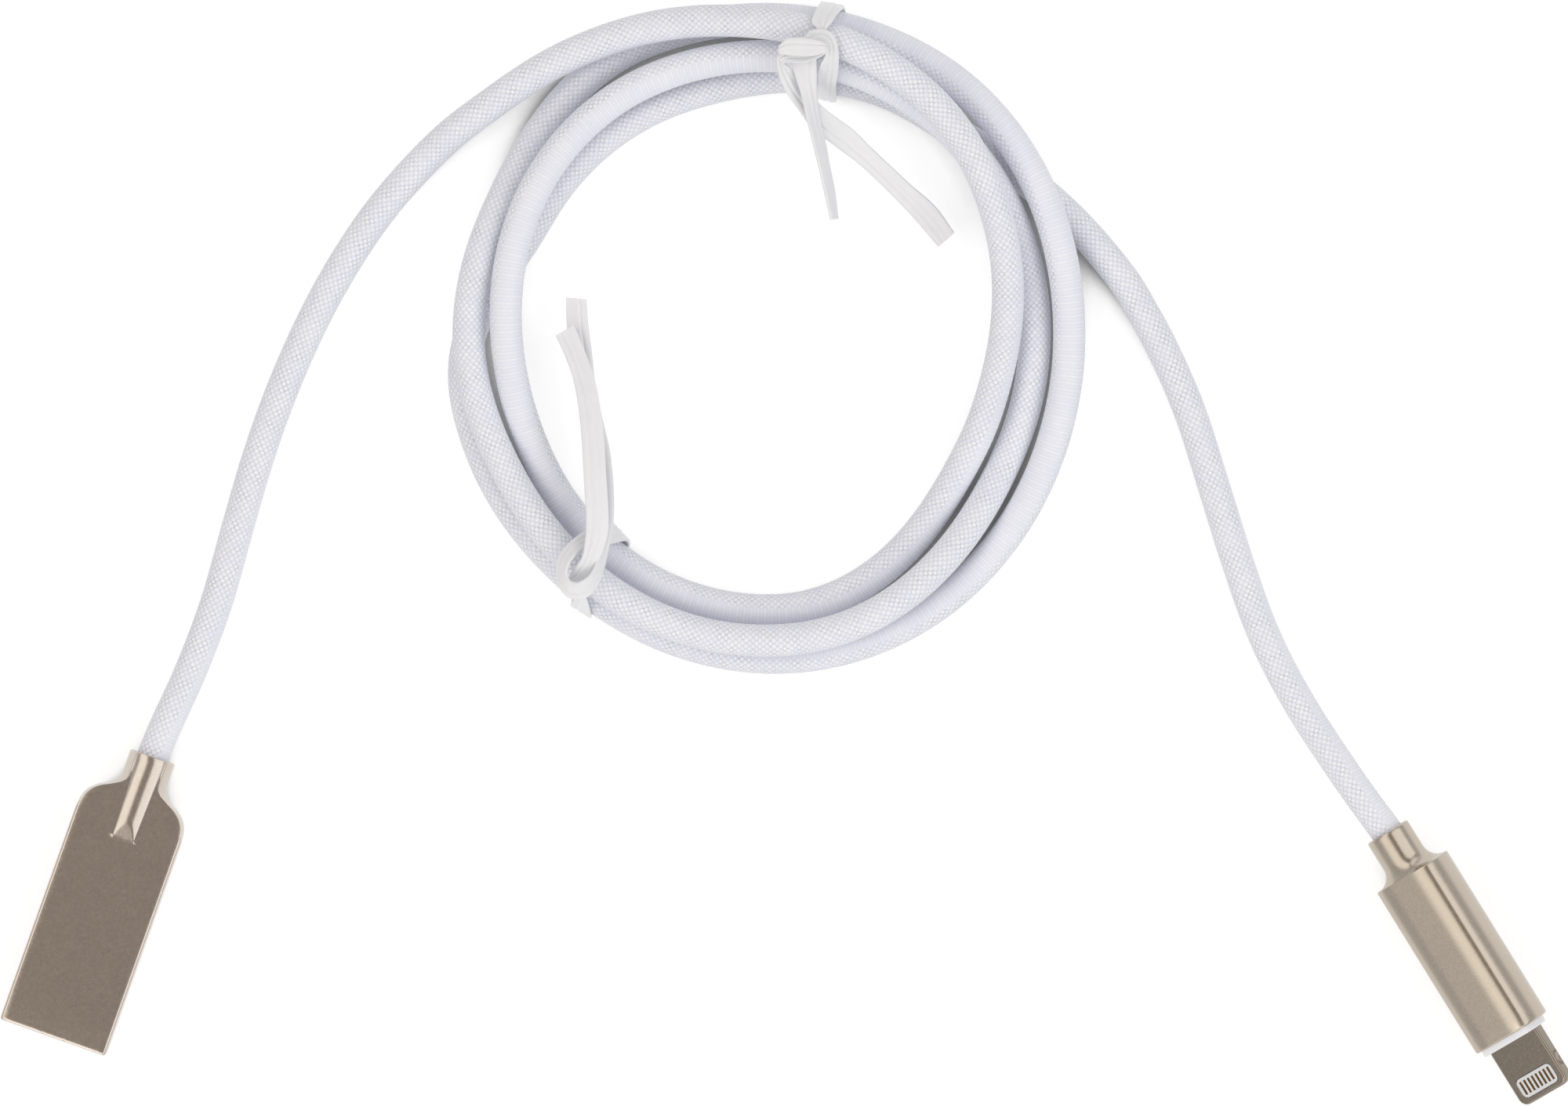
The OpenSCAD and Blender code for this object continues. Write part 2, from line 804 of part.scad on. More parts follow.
module top_tie() {
    color(white) tie_ribbon(tie_angles[0], top_tie_before, top_tie_after);
}

module top_tie_wire() {
    color(steel) tie_core(tie_angles[0], top_tie_before, top_tie_after);
}

module bottom_tie() {
    color(white) tie_ribbon(tie_angles[1], bottom_tie_before, bottom_tie_after);
}

module bottom_tie_wire() {
    color(steel) tie_core(tie_angles[1], bottom_tie_before, bottom_tie_after);
}

charger_plug_shell();
charger_plug_tongue();
charger_plug_contacts();
charger_plug_solder();
charger_plug_crimp();
charger_plug_filler();
charger_power_wire();
charger_ground_wire();
charger_data_plus_wire();
charger_data_minus_wire();
charger_lead();
cord_coil();
phone_lead();
phone_plug_barrel();
phone_plug_collar();
phone_plug_tab();
phone_plug_windows();
phone_plug_front_contacts();
phone_plug_back_contacts();
phone_plug_board();
phone_plug_chip();
phone_plug_capacitors();
phone_plug_solder();
phone_plug_crimp();
phone_plug_filler();
phone_power_wire();
phone_ground_wire();
phone_data_plus_wire();
phone_data_minus_wire();
top_tie();
top_tie_wire();
bottom_tie();
bottom_tie_wire();
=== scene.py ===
import bpy
import bmesh
import math
from mathutils import Matrix, Vector


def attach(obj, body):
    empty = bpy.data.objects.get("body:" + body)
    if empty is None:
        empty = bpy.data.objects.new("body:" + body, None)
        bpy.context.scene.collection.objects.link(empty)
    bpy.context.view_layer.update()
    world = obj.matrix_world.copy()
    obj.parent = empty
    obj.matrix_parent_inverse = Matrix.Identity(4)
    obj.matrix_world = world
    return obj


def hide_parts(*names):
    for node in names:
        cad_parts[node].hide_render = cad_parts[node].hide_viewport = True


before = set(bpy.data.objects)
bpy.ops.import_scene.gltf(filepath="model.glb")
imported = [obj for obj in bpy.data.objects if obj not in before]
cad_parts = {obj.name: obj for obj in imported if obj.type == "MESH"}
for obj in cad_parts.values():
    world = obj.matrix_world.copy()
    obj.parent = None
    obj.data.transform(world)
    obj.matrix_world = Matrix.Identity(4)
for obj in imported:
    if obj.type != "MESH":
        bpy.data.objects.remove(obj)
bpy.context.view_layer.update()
print("frame loaded:", len(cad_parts), "nodes")


# Small tools
def metres(point):
    return Vector(point[:3]) * 0.001


def clamp(value):
    return max(0.0, min(1.0, value))


def smooth(t):
    t = clamp(t)
    return t * t * (3 - 2 * t)


def blendTable(rows, x):
    # y over x, along straight lines through rows of (x, y)
    if x <= rows[0][0]:
        return rows[0][1]
    for (xa, ya), (xb, yb) in zip(rows, rows[1:]):
        if x <= xb:
            return ya + (yb - ya) * (x - xa) / (xb - xa)
    return rows[-1][1]


def smoothLine(points, parts=10):
    # centripetal spline through points of any size of vector
    pts = [Vector(p) for p in points]
    pts = [2 * pts[0] - pts[1]] + pts + [2 * pts[-1] - pts[-2]]
    line = []
    for a, b, c, d in zip(pts, pts[1:], pts[2:], pts[3:]):
        ta = 0.0
        tb = ta + max((b.xyz - a.xyz).length ** 0.5, 1e-6)
        tc = tb + max((c.xyz - b.xyz).length ** 0.5, 1e-6)
        td = tc + max((d.xyz - c.xyz).length ** 0.5, 1e-6)
        for i in range(parts):
            t = tb + (tc - tb) * i / parts
            ab = a * ((tb - t) / (tb - ta)) + b * ((t - ta) / (tb - ta))
            bc = b * ((tc - t) / (tc - tb)) + c * ((t - tb) / (tc - tb))
            cd = c * ((td - t) / (td - tc)) + d * ((t - tc) / (td - tc))
            abc = ab * ((tc - t) / (tc - ta)) + bc * ((t - ta) / (tc - ta))
            bcd = bc * ((td - t) / (td - tb)) + cd * ((t - tb) / (td - tb))
            line.append(abc * ((tc - t) / (tc - tb)) + bcd * ((t - tb) / (tc - tb)))
    line.append(Vector(pts[-2]))
    return line


def evenSteps(points, step):
    total = sum((b - a).length for a, b in zip(points, points[1:]))
    count = max(2, round(total / step))
    size = total / count
    out, walked, goal = [points[0].copy()], 0.0, size
    for a, b in zip(points, points[1:]):
        length = (b - a).length
        while length > 0 and walked + length >= goal - 1e-9 and len(out) < count:
            out.append(a.lerp(b, (goal - walked) / length))
            goal += size
        walked += length
    out.append(points[-1].copy())
    return out


def lineLength(points):
    return sum((b - a).length for a, b in zip(points, points[1:]))


def addPiece(name, mesh, finish=None):
    piece = bpy.data.objects.new(name, mesh)
    bpy.context.scene.collection.objects.link(piece)
    if finish:
        mesh.materials.clear()
        mesh.materials.append(finish)
    return piece


def shadeSmooth(mesh, sharpFrom=35):
    for face in mesh.polygons:
        face.use_smooth = True
    mesh.set_sharp_from_angle(angle=math.radians(sharpFrom))


def loft(name, rings, place=Matrix.Identity(4), joined=False, capped=False, sharpFrom=35):
    bm = bmesh.new()
    rows = [[bm.verts.new(place @ Vector(p)) for p in ring] for ring in rings]
    pairs = list(zip(rows, rows[1:]))
    if joined:
        pairs.append((rows[-1], rows[0]))
    for near, far in pairs:
        for i in range(len(near)):
            j = (i + 1) % len(near)
            bm.faces.new((near[i], near[j], far[j], far[i]))
    if capped:
        bm.faces.new(rows[0])
        bm.faces.new(rows[-1])
    bmesh.ops.remove_doubles(bm, verts=bm.verts, dist=1e-7)
    bmesh.ops.recalc_face_normals(bm, faces=bm.faces)
    mesh = bpy.data.meshes.new(name)
    bm.to_mesh(mesh)
    bm.free()
    shadeSmooth(mesh, sharpFrom)
    return mesh


def softened(node, width, segments, creaseFrom=30, sharpFrom=40):
    # a copy of a frame node with its edges rounded
    bm = bmesh.new()
    bm.from_mesh(bpy.data.objects[node].data)
    bmesh.ops.remove_doubles(bm, verts=bm.verts, dist=1e-7)
    bmesh.ops.dissolve_limit(bm, angle_limit=math.radians(1), verts=bm.verts, edges=bm.edges)
    edges = [e for e in bm.edges if len(e.link_faces) == 2
             and e.calc_face_angle() > math.radians(creaseFrom)]
    bmesh.ops.bevel(bm, geom=edges, offset=width * 0.001, segments=segments, profile=0.5,
                    affect="EDGES", clamp_overlap=True)
    mesh = bpy.data.meshes.new(node + "_soft")
    bm.to_mesh(mesh)
    bm.free()
    shadeSmooth(mesh, sharpFrom)
    return mesh


# Node trees
def sockets(tree, kind, names, inOut="INPUT"):
    for name in names:
        tree.interface.new_socket(name=name, in_out=inOut, socket_type="NodeSocket" + kind)


def put(tree, node, spot, value):
    if isinstance(value, bpy.types.NodeSocket):
        tree.links.new(value, node.inputs[spot])
    elif value is not None:
        node.inputs[spot].default_value = value


def calc(tree, kind, *values, clip=False):
    node = tree.nodes.new("ShaderNodeMath")
    node.operation = kind
    node.use_clamp = clip
    for i, value in enumerate(values):
        put(tree, node, i, value)
    return node.outputs[0]


def noise(tree, vector, scale, detail=2.0, rough=0.5):
    node = tree.nodes.new("ShaderNodeTexNoise")
    put(tree, node, "Vector", vector)
    put(tree, node, "Scale", scale)
    put(tree, node, "Detail", detail)
    put(tree, node, "Roughness", rough)
    return node.outputs[0]


def mixColour(tree, amount, a, b, kind="MIX"):
    node = tree.nodes.new("ShaderNodeMix")
    node.data_type = "RGBA"
    node.blend_type = kind
    put(tree, node, 0, amount)
    put(tree, node, 6, a)
    put(tree, node, 7, b)
    return node.outputs[2]


def rangeOf(tree, value, a, b, c, d):
    node = tree.nodes.new("ShaderNodeMapRange")
    put(tree, node, 0, value)
    for i, number in enumerate((a, b, c, d)):
        put(tree, node, i + 1, number)
    return node.outputs[0]


def makeGrainGroup():
    # cloudy tone, fine grain and scattered bright specks, for castings and mouldings
    tree = bpy.data.node_groups.new("castGrain", "ShaderNodeTree")
    sockets(tree, "Vector", ["Vector"])
    sockets(tree, "Float", ["Scale", "Tone", "Specks"])
    sockets(tree, "Color", ["Shade"], "OUTPUT")
    sockets(tree, "Float", ["Grain"], "OUTPUT")
    inlet = tree.nodes.new("NodeGroupInput")
    outlet = tree.nodes.new("NodeGroupOutput")
    vector, scale, tone, specks = inlet.outputs[:4]
    cloud = noise(tree, vector, calc(tree, "MULTIPLY", scale, 0.12), 3.0, 0.6)
    grain = noise(tree, vector, scale, 2.0, 0.55)
    fine = noise(tree, vector, calc(tree, "MULTIPLY", scale, 2.7), 1.0)
    brightSpeckAndHighlight = calc(tree, "MULTIPLY", rangeOf(tree, fine, 0.66, 0.74, 0.0, 1.0), specks)
    swing = calc(tree, "ADD", calc(tree, "MULTIPLY", calc(tree, "SUBTRACT", cloud, 0.5), 1.6),
                 calc(tree, "SUBTRACT", grain, 0.5))
    level = calc(tree, "ADD", calc(tree, "MULTIPLY_ADD", swing, tone, 1.0), brightSpeckAndHighlight)
    join = tree.nodes.new("ShaderNodeCombineColor")
    for i in range(3):
        put(tree, join, i, level)
    put(tree, outlet, 0, join.outputs[0])
    put(tree, outlet, 1, grain)
    return tree


grainGroup = makeGrainGroup()


def startFinish(name):
    finish = bpy.data.materials.new(name)
    finish.use_nodes = True
    tree = finish.node_tree
    shader = tree.nodes["Principled BSDF"]
    return finish, tree, shader


def objectPlace(tree):
    return tree.nodes.new("ShaderNodeTexCoord").outputs["Object"]


def grained(tree, vector, scale, tone, specks=0.0):
    node = tree.nodes.new("ShaderNodeGroup")
    node.node_tree = grainGroup
    put(tree, node, "Vector", vector)
    node.inputs["Scale"].default_value = scale
    node.inputs["Tone"].default_value = tone
    node.inputs["Specks"].default_value = specks
    return node.outputs["Shade"], node.outputs["Grain"]


def bump(tree, height, strength, distance):
    node = tree.nodes.new("ShaderNodeBump")
    put(tree, node, "Height", height)
    node.inputs["Strength"].default_value = strength
    node.inputs["Distance"].default_value = distance
    return node.outputs[0]


grainDepth = 0.00003  # metres


def plainFinish(name, colour, roughness, metallic=0.0, scale=900.0, tone=0.12, specks=0.0,
                relief=0.15, swing=0.08):
    finish, tree, shader = startFinish(name)
    shade, grain = grained(tree, objectPlace(tree), scale, tone, specks)
    put(tree, shader, "Base Color", mixColour(tree, 1.0, (*colour, 1), shade, "MULTIPLY"))
    put(tree, shader, "Roughness", rangeOf(tree, grain, 0.3, 0.7, roughness - swing, roughness + swing))
    put(tree, shader, "Normal", bump(tree, grain, relief, grainDepth))
    shader.inputs["Metallic"].default_value = metallic
    return finish


# View, floor and light
view = {"width": 0.1688, "centre": (0.0, 0.0401), "height": 2.0, "sharpAt": 0.003, "sensor": 36.0}

cameraData = bpy.data.cameras.new("viewCamera")
cameraData.sensor_width = view["sensor"]
cameraData.lens = view["sensor"] * (view["height"] - view["sharpAt"]) / view["width"]
camera = bpy.data.objects.new("viewCamera", cameraData)
camera.location = (*view["centre"], view["height"])
bpy.context.scene.collection.objects.link(camera)
bpy.context.scene.camera = camera
bpy.context.scene.view_settings.view_transform = "Standard"

floorLook = {
    "size": 6.0, "glow": 0.8, "own": 0.3, "bounce": 0.8,
    # painted shade in slits between close turns: reach of the test, openness where the slits end, and their
    # glow
    "slit": 0.009, "closed": 0.26, "open": 0.48, "slitGlow": 0.05,
}


def rayIsSeen(tree):
    path = tree.nodes.new("ShaderNodeLightPath")
    seen = calc(tree, "MAXIMUM", path.outputs["Is Camera Ray"], path.outputs["Is Glossy Ray"])
    return calc(tree, "MAXIMUM", seen, path.outputs["Is Transmission Ray"])


def makeFloor():
    half = floorLook["size"] / 2
    mesh = bpy.data.meshes.new("paleFloor")
    mesh.from_pydata([(-half, -half, 0), (half, -half, 0), (half, half, 0), (-half, half, 0)],
                     [], [(0, 1, 2, 3)])
    finish = bpy.data.materials.new("paleFloor")
    finish.use_nodes = True
    tree = finish.node_tree
    tree.nodes.clear()
    own = tree.nodes.new("ShaderNodeBsdfDiffuse")
    own.inputs["Color"].default_value = (*[floorLook["own"]] * 3, 1)
    glow = tree.nodes.new("ShaderNodeEmission")
    openness = tree.nodes.new("ShaderNodeAmbientOcclusion")
    openness.inputs["Distance"].default_value = floorLook["slit"]
    # the floor's glow dims where ambient occlusion finds a slit between turns: painted shade
    strength = rangeOf(tree, openness.outputs["AO"], floorLook["closed"], floorLook["open"],
                       floorLook["slitGlow"], floorLook["glow"])
    put(tree, glow, "Strength", strength)
    both = tree.nodes.new("ShaderNodeAddShader")
    tree.links.new(own.outputs[0], both.inputs[0])
    tree.links.new(glow.outputs[0], both.inputs[1])
    bounce = tree.nodes.new("ShaderNodeBsdfDiffuse")
    bounce.inputs["Color"].default_value = (*[floorLook["bounce"]] * 3, 1)
    choose = tree.nodes.new("ShaderNodeMixShader")
    tree.links.new(rayIsSeen(tree), choose.inputs[0])
    tree.links.new(bounce.outputs[0], choose.inputs[1])
    tree.links.new(both.outputs[0], choose.inputs[2])
    outlet = tree.nodes.new("ShaderNodeOutputMaterial")
    tree.links.new(choose.outputs[0], outlet.inputs[0])
    floor = addPiece("pale_floor", mesh, finish)


skyLook = {
    "overhead": (0.32, 0.285, 0.258), "middle": (0.28, 0.26, 0.25), "low": (0.62, 0.615, 0.62),
    # their places, from the horizon at 0 to the zenith at 1
    "overheadAt": 0.97, "middleAt": 0.75, "lowAt": 0.15,
}


def makeSky():
    world = bpy.data.worlds.new("studio")
    bpy.context.scene.world = world
    world.use_nodes = True
    tree = world.node_tree
    tree.nodes.clear()
    coordinates = tree.nodes.new("ShaderNodeTexCoord")
    split = tree.nodes.new("ShaderNodeSeparateXYZ")
    tree.links.new(coordinates.outputs["Generated"], split.inputs[0])
    ramp = tree.nodes.new("ShaderNodeValToRGB")
    stops = ramp.color_ramp.elements
    for stop, which in ((stops[0], "low"), (stops[1], "overhead")):
        stop.position = skyLook[which + "At"]
        stop.color = (*skyLook[which], 1)
    middle = stops.new(skyLook["middleAt"])
    middle.color = (*skyLook["middle"], 1)
    tree.links.new(split.outputs[2], ramp.inputs[0])
    path = tree.nodes.new("ShaderNodeLightPath")
    colour = mixColour(tree, path.outputs["Is Camera Ray"], ramp.outputs[0], (1, 1, 1, 1))
    sky = tree.nodes.new("ShaderNodeBackground")
    tree.links.new(colour, sky.inputs[0])
    outlet = tree.nodes.new("ShaderNodeOutputWorld")
    tree.links.new(sky.outputs[0], outlet.inputs[0])


def softBox(name, azimuth, fromZenith, distance, size, radiance, colour=(1, 1, 1)):
    # azimuth runs anticlockwise from +X
    a, z = math.radians(azimuth), math.radians(fromZenith)
    way = Vector((math.cos(a) * math.sin(z), math.sin(a) * math.sin(z), math.cos(z)))
    data = bpy.data.lights.new(name, "AREA")
    data.shape = "RECTANGLE"
    data.size, data.size_y = size
    data.energy = radiance * math.pi * size[0] * size[1]
    data.color = colour
    lamp = bpy.data.objects.new(name, data)
    lamp.location = Vector((*view["centre"], 0)) + way * distance
    lamp.rotation_euler = (-way).to_track_quat("-Z", "Y").to_euler()
    bpy.context.scene.collection.objects.link(lamp)


makeFloor()
makeSky()
softBox("rightBox", 0, 37, 0.9, (1.4, 0.84), 1.04)
softBox("leftBox", 188, 38, 0.9, (1.4, 0.58), 1.12, (1.0, 0.96, 0.9))
softBox("frontBox", 268, 56, 0.9, (0.8, 0.6), 1.1)
softBox("backBox", 92, 58, 0.9, (0.8, 0.5), 0.7)
print("camera, floor and light set")


# Route of the cord, in mm
cord = {
    "diameter": 3.5, "gap": 0.45, "columns": 16, "pick": 0.74, "relief": 0.012, "radius": 1.73,
    "chargerHold": 7, "phoneHold": 9, "step": 1.0, "smoothings": 4,
}
coil = {
    "centre": (-2.1, 62.95), "from": -45, "to": 1155, "startRadius": 41.6,
    # rows of the radius, in mm, and of the height, in layers: from angle, to angle, change
    # a program fitted the rows of the radius, and the others were laid one by one
    "draws": [
        (-90, 2, -6.7), (-24, 66, -4.8), (30, 109, -5), (117, 176, 4), (174, 284, -2.4),
        (240, 336, 3.9), (371, 468, -1.6), (473, 534, 3.3), (543, 605, -1.3), (599, 636, 0.9),
        (653, 698, 2.8), (750, 813, -1.9), (818, 885, 1.5), (888, 950, -1.5), (980, 1018, -5),
        (1064, 1117, 2.3), (1114, 1214, 20.1)],
    "lifts": [
        (-75, -15, 1), (-25, 18, 1), (47, 97, -1.4), (105, 135, -0.6), (220, 282, 1.5),
        (295, 325, -0.5), (407, 445, -1), (470, 515, 1), (645, 675, -1), (728, 768, 1),
        (785, 815, -0.5), (820, 855, -0.5)],
    "ties": (12, 217), "humpFrom": 30, "humpFlat": 6, "humpLift": 0.7,
}
chargerPlug = {"at": (-67.95, 18.2, 2.575), "turn": -19.6}
phonePlug = {"at": (64.9, 10.1, 4.4 * math.cos(math.acos(5.8 / 8.8) - math.radians(33))),
             "turn": 31.75, "roll": -33}
chargerRoute = [
    (-66.6, 21.5, 2.5), (-64.4, 26.2, 2.1), (-61.3, 34.2, 1.8), (-58.9, 42.7, 1.75), (-56.3, 51.5, 1.75),
    (-53.1, 60, 1.75), (-49, 68.5, 1.75), (-43.6, 76.9, 1.75), (-37.3, 83.9, 1.9)]
phoneRoute = [
    (38.4, 66.5, 1.75), (40.2, 63.3, 1.75), (43.6, 55.7, 1.75), (46.3, 47.3, 1.75),
    (48.9, 39, 1.75), (51.8, 31, 1.75), (55.6, 23.7, 2.1), (60, 16.9, 3.1), (62.7, 13, 3.95)]


def change(rows, a):
    return sum(row[2] * smooth((a - row[0]) / (row[1] - row[0])) for row in rows)


def turnedFrom(a, middle):
    return abs((a - middle + 900) % 360 - 180)


def coilRadius(a):
    return coil["startRadius"] + change(coil["draws"], a)


def coilHeight(a):
    near = max(smooth((coil["humpFrom"] - turnedFrom(a, t)) / (coil["humpFrom"] - coil["humpFlat"]))
               for t in coil["ties"])
    layers = change(coil["lifts"], a)
    return cord["diameter"] / 2 + (cord["diameter"] + cord["gap"]) * layers + coil["humpLift"] * near


def coilPoint(a):
    r, t = coilRadius(a), math.radians(a)
    return Vector((coil["centre"][0] + r * math.sin(t), coil["centre"][1] + r * math.cos(t), coilHeight(a)))


def plugPlace(plug):
    place = Matrix.Translation(metres(plug["at"])) @ Matrix.Rotation(math.radians(plug["turn"]), 4, "Z")
    return place @ Matrix.Rotation(math.radians(plug.get("roll", 0)), 4, "Y") @ Matrix.Scale(0.001, 4)


chargerPlace, phonePlace = plugPlace(chargerPlug), plugPlace(phonePlug)


def cordRoute():
    def wayOut(plug):
        t = math.radians(plug["turn"])
        return Vector(plug["at"]), Vector((-math.sin(t), math.cos(t), 0))

    d = cord["diameter"]
    exitA, outA = wayOut(chargerPlug)
    exitB, outB = wayOut(phonePlug)
    start, end = coilPoint(coil["from"]), coilPoint(coil["to"])
    wayIn = (coilPoint(coil["from"] + 1) - coilPoint(coil["from"] - 1)).normalized()
    wayOn = (coilPoint(coil["to"] + 1) - coilPoint(coil["to"] - 1)).normalized()
    points = [exitA + outA * k for k in (-cord["chargerHold"], -d, 0)]
    points += [Vector(p) for p in chargerRoute]
    points += [start - 2 * d * wayIn, start - d * wayIn]
    points += [coilPoint(a) for a in range(coil["from"], coil["to"] + 1, 5)]
    points += [end + d * wayOn, end + 1.3 * d * wayOn]
    points += [Vector(p) for p in phoneRoute]
    points += [exitB + outB * k for k in (0, -d, -cord["phoneHold"])]
    line = evenSteps(smoothLine(points), cord["step"])
    for _ in range(cord["smoothings"]):
        line = [line[0]] + [(a + 2 * b + c) / 4 for a, b, c in zip(line, line[1:], line[2:])] + [line[-1]]
    return line


cordLine = cordRoute()
print("cord route:", round(lineLength(cordLine), 1), "mm")


# The braided cord
def makeBraidTree():
    tree = bpy.data.node_groups.new("braidedTube", "GeometryNodeTree")
    sockets(tree, "Geometry", ["Geometry"], "OUTPUT")
    sockets(tree, "Geometry", ["Geometry"])
    sockets(tree, "Float", ["Radius"])
    sockets(tree, "Int", ["Columns"])
    sockets(tree, "Float", ["Pick", "Relief"])
    sockets(tree, "Material", ["Finish"])
    inlet = tree.nodes.new("NodeGroupInput")
    line, radius, columns, pick, relief, finish = inlet.outputs[:6]

    def add(kind, *puts, **settings):
        node = tree.nodes.new(kind)
        for key, value in settings.items():
            setattr(node, key, value)
        for spot, value in puts:
            put(tree, node, spot, value)
        return node

    curve = add("GeometryNodeMeshToCurve", ("Mesh", line))
    step = calc(tree, "MULTIPLY", pick, 0.5)
    rings = add("GeometryNodeResampleCurve", ("Curve", curve.outputs[0]), ("Length", step), mode="LENGTH")
    upright = add("GeometryNodeSetCurveNormal", ("Curve", rings.outputs[0]), mode="Z_UP")
    index = add("GeometryNodeInputIndex")
    along = add("GeometryNodeStoreNamedAttribute", ("Geometry", upright.outputs[0]), ("Name", "alongCord"),
                ("Value", calc(tree, "MULTIPLY", index.outputs[0], step)), data_type="FLOAT")
    circle = add("GeometryNodeCurvePrimitiveCircle", ("Resolution", calc(tree, "MULTIPLY", columns, 2.0)),
                 ("Radius", radius))
    spot = add("GeometryNodeInputPosition")
    onCircle = add("ShaderNodeVectorMath", (0, spot.outputs[0]), operation="NORMALIZE")
    around = add("GeometryNodeStoreNamedAttribute", ("Geometry", circle.outputs[0]), ("Name", "aroundCord"),
                 data_type="FLOAT_VECTOR")
    tree.links.new(onCircle.outputs[0], around.inputs["Value"])
    tube = add("GeometryNodeCurveToMesh", ("Curve", along.outputs[0]), ("Profile Curve", around.outputs[0]),
               ("Fill Caps", True))
    # beads stand out in every other place, like the dark fields of a chessboard
    readAround = add("GeometryNodeInputNamedAttribute", ("Name", "aroundCord"), data_type="FLOAT_VECTOR")
    readAlong = add("GeometryNodeInputNamedAttribute", ("Name", "alongCord"), data_type="FLOAT")
    split = add("ShaderNodeSeparateXYZ", (0, readAround.outputs[0]))
    angle = calc(tree, "MULTIPLY", calc(tree, "ARCTAN2", split.outputs[1], split.outputs[0]), columns)
    ridge = calc(tree, "COSINE", angle)
    turn = calc(tree, "MULTIPLY", calc(tree, "DIVIDE", readAlong.outputs[0], pick), 2 * math.pi)
    height = calc(tree, "MULTIPLY", calc(tree, "MULTIPLY", ridge, calc(tree, "COSINE", turn)), relief)
    normal = add("GeometryNodeInputNormal")
    push = add("ShaderNodeVectorMath", (0, normal.outputs[0]), operation="SCALE")
    tree.links.new(height, push.inputs["Scale"])
    moved = add("GeometryNodeSetPosition", ("Geometry", tube.outputs[0]), ("Offset", push.outputs[0]))
    soft = add("GeometryNodeSetShadeSmooth", (0, moved.outputs[0]))
    real = add("GeometryNodeRealizeInstances", (0, soft.outputs[0]))
    dressed = add("GeometryNodeSetMaterial", ("Geometry", real.outputs[0]), ("Material", finish))
    outlet = tree.nodes.new("NodeGroupOutput")
    put(tree, outlet, 0, dressed.outputs[0])
    return tree


def setInput(modifier, name, value):
    for item in modifier.node_group.interface.items_tree:
        if item.item_type == "SOCKET" and item.in_out == "INPUT" and item.name == name:
            modifier[item.identifier] = value


def makePlain(piece):
    # what the modifiers make becomes the piece's own mesh
    shown = piece.evaluated_get(bpy.context.evaluated_depsgraph_get())
    mesh = bpy.data.meshes.new_from_object(shown)
    piece.modifiers.clear()
    piece.data = mesh
    return piece


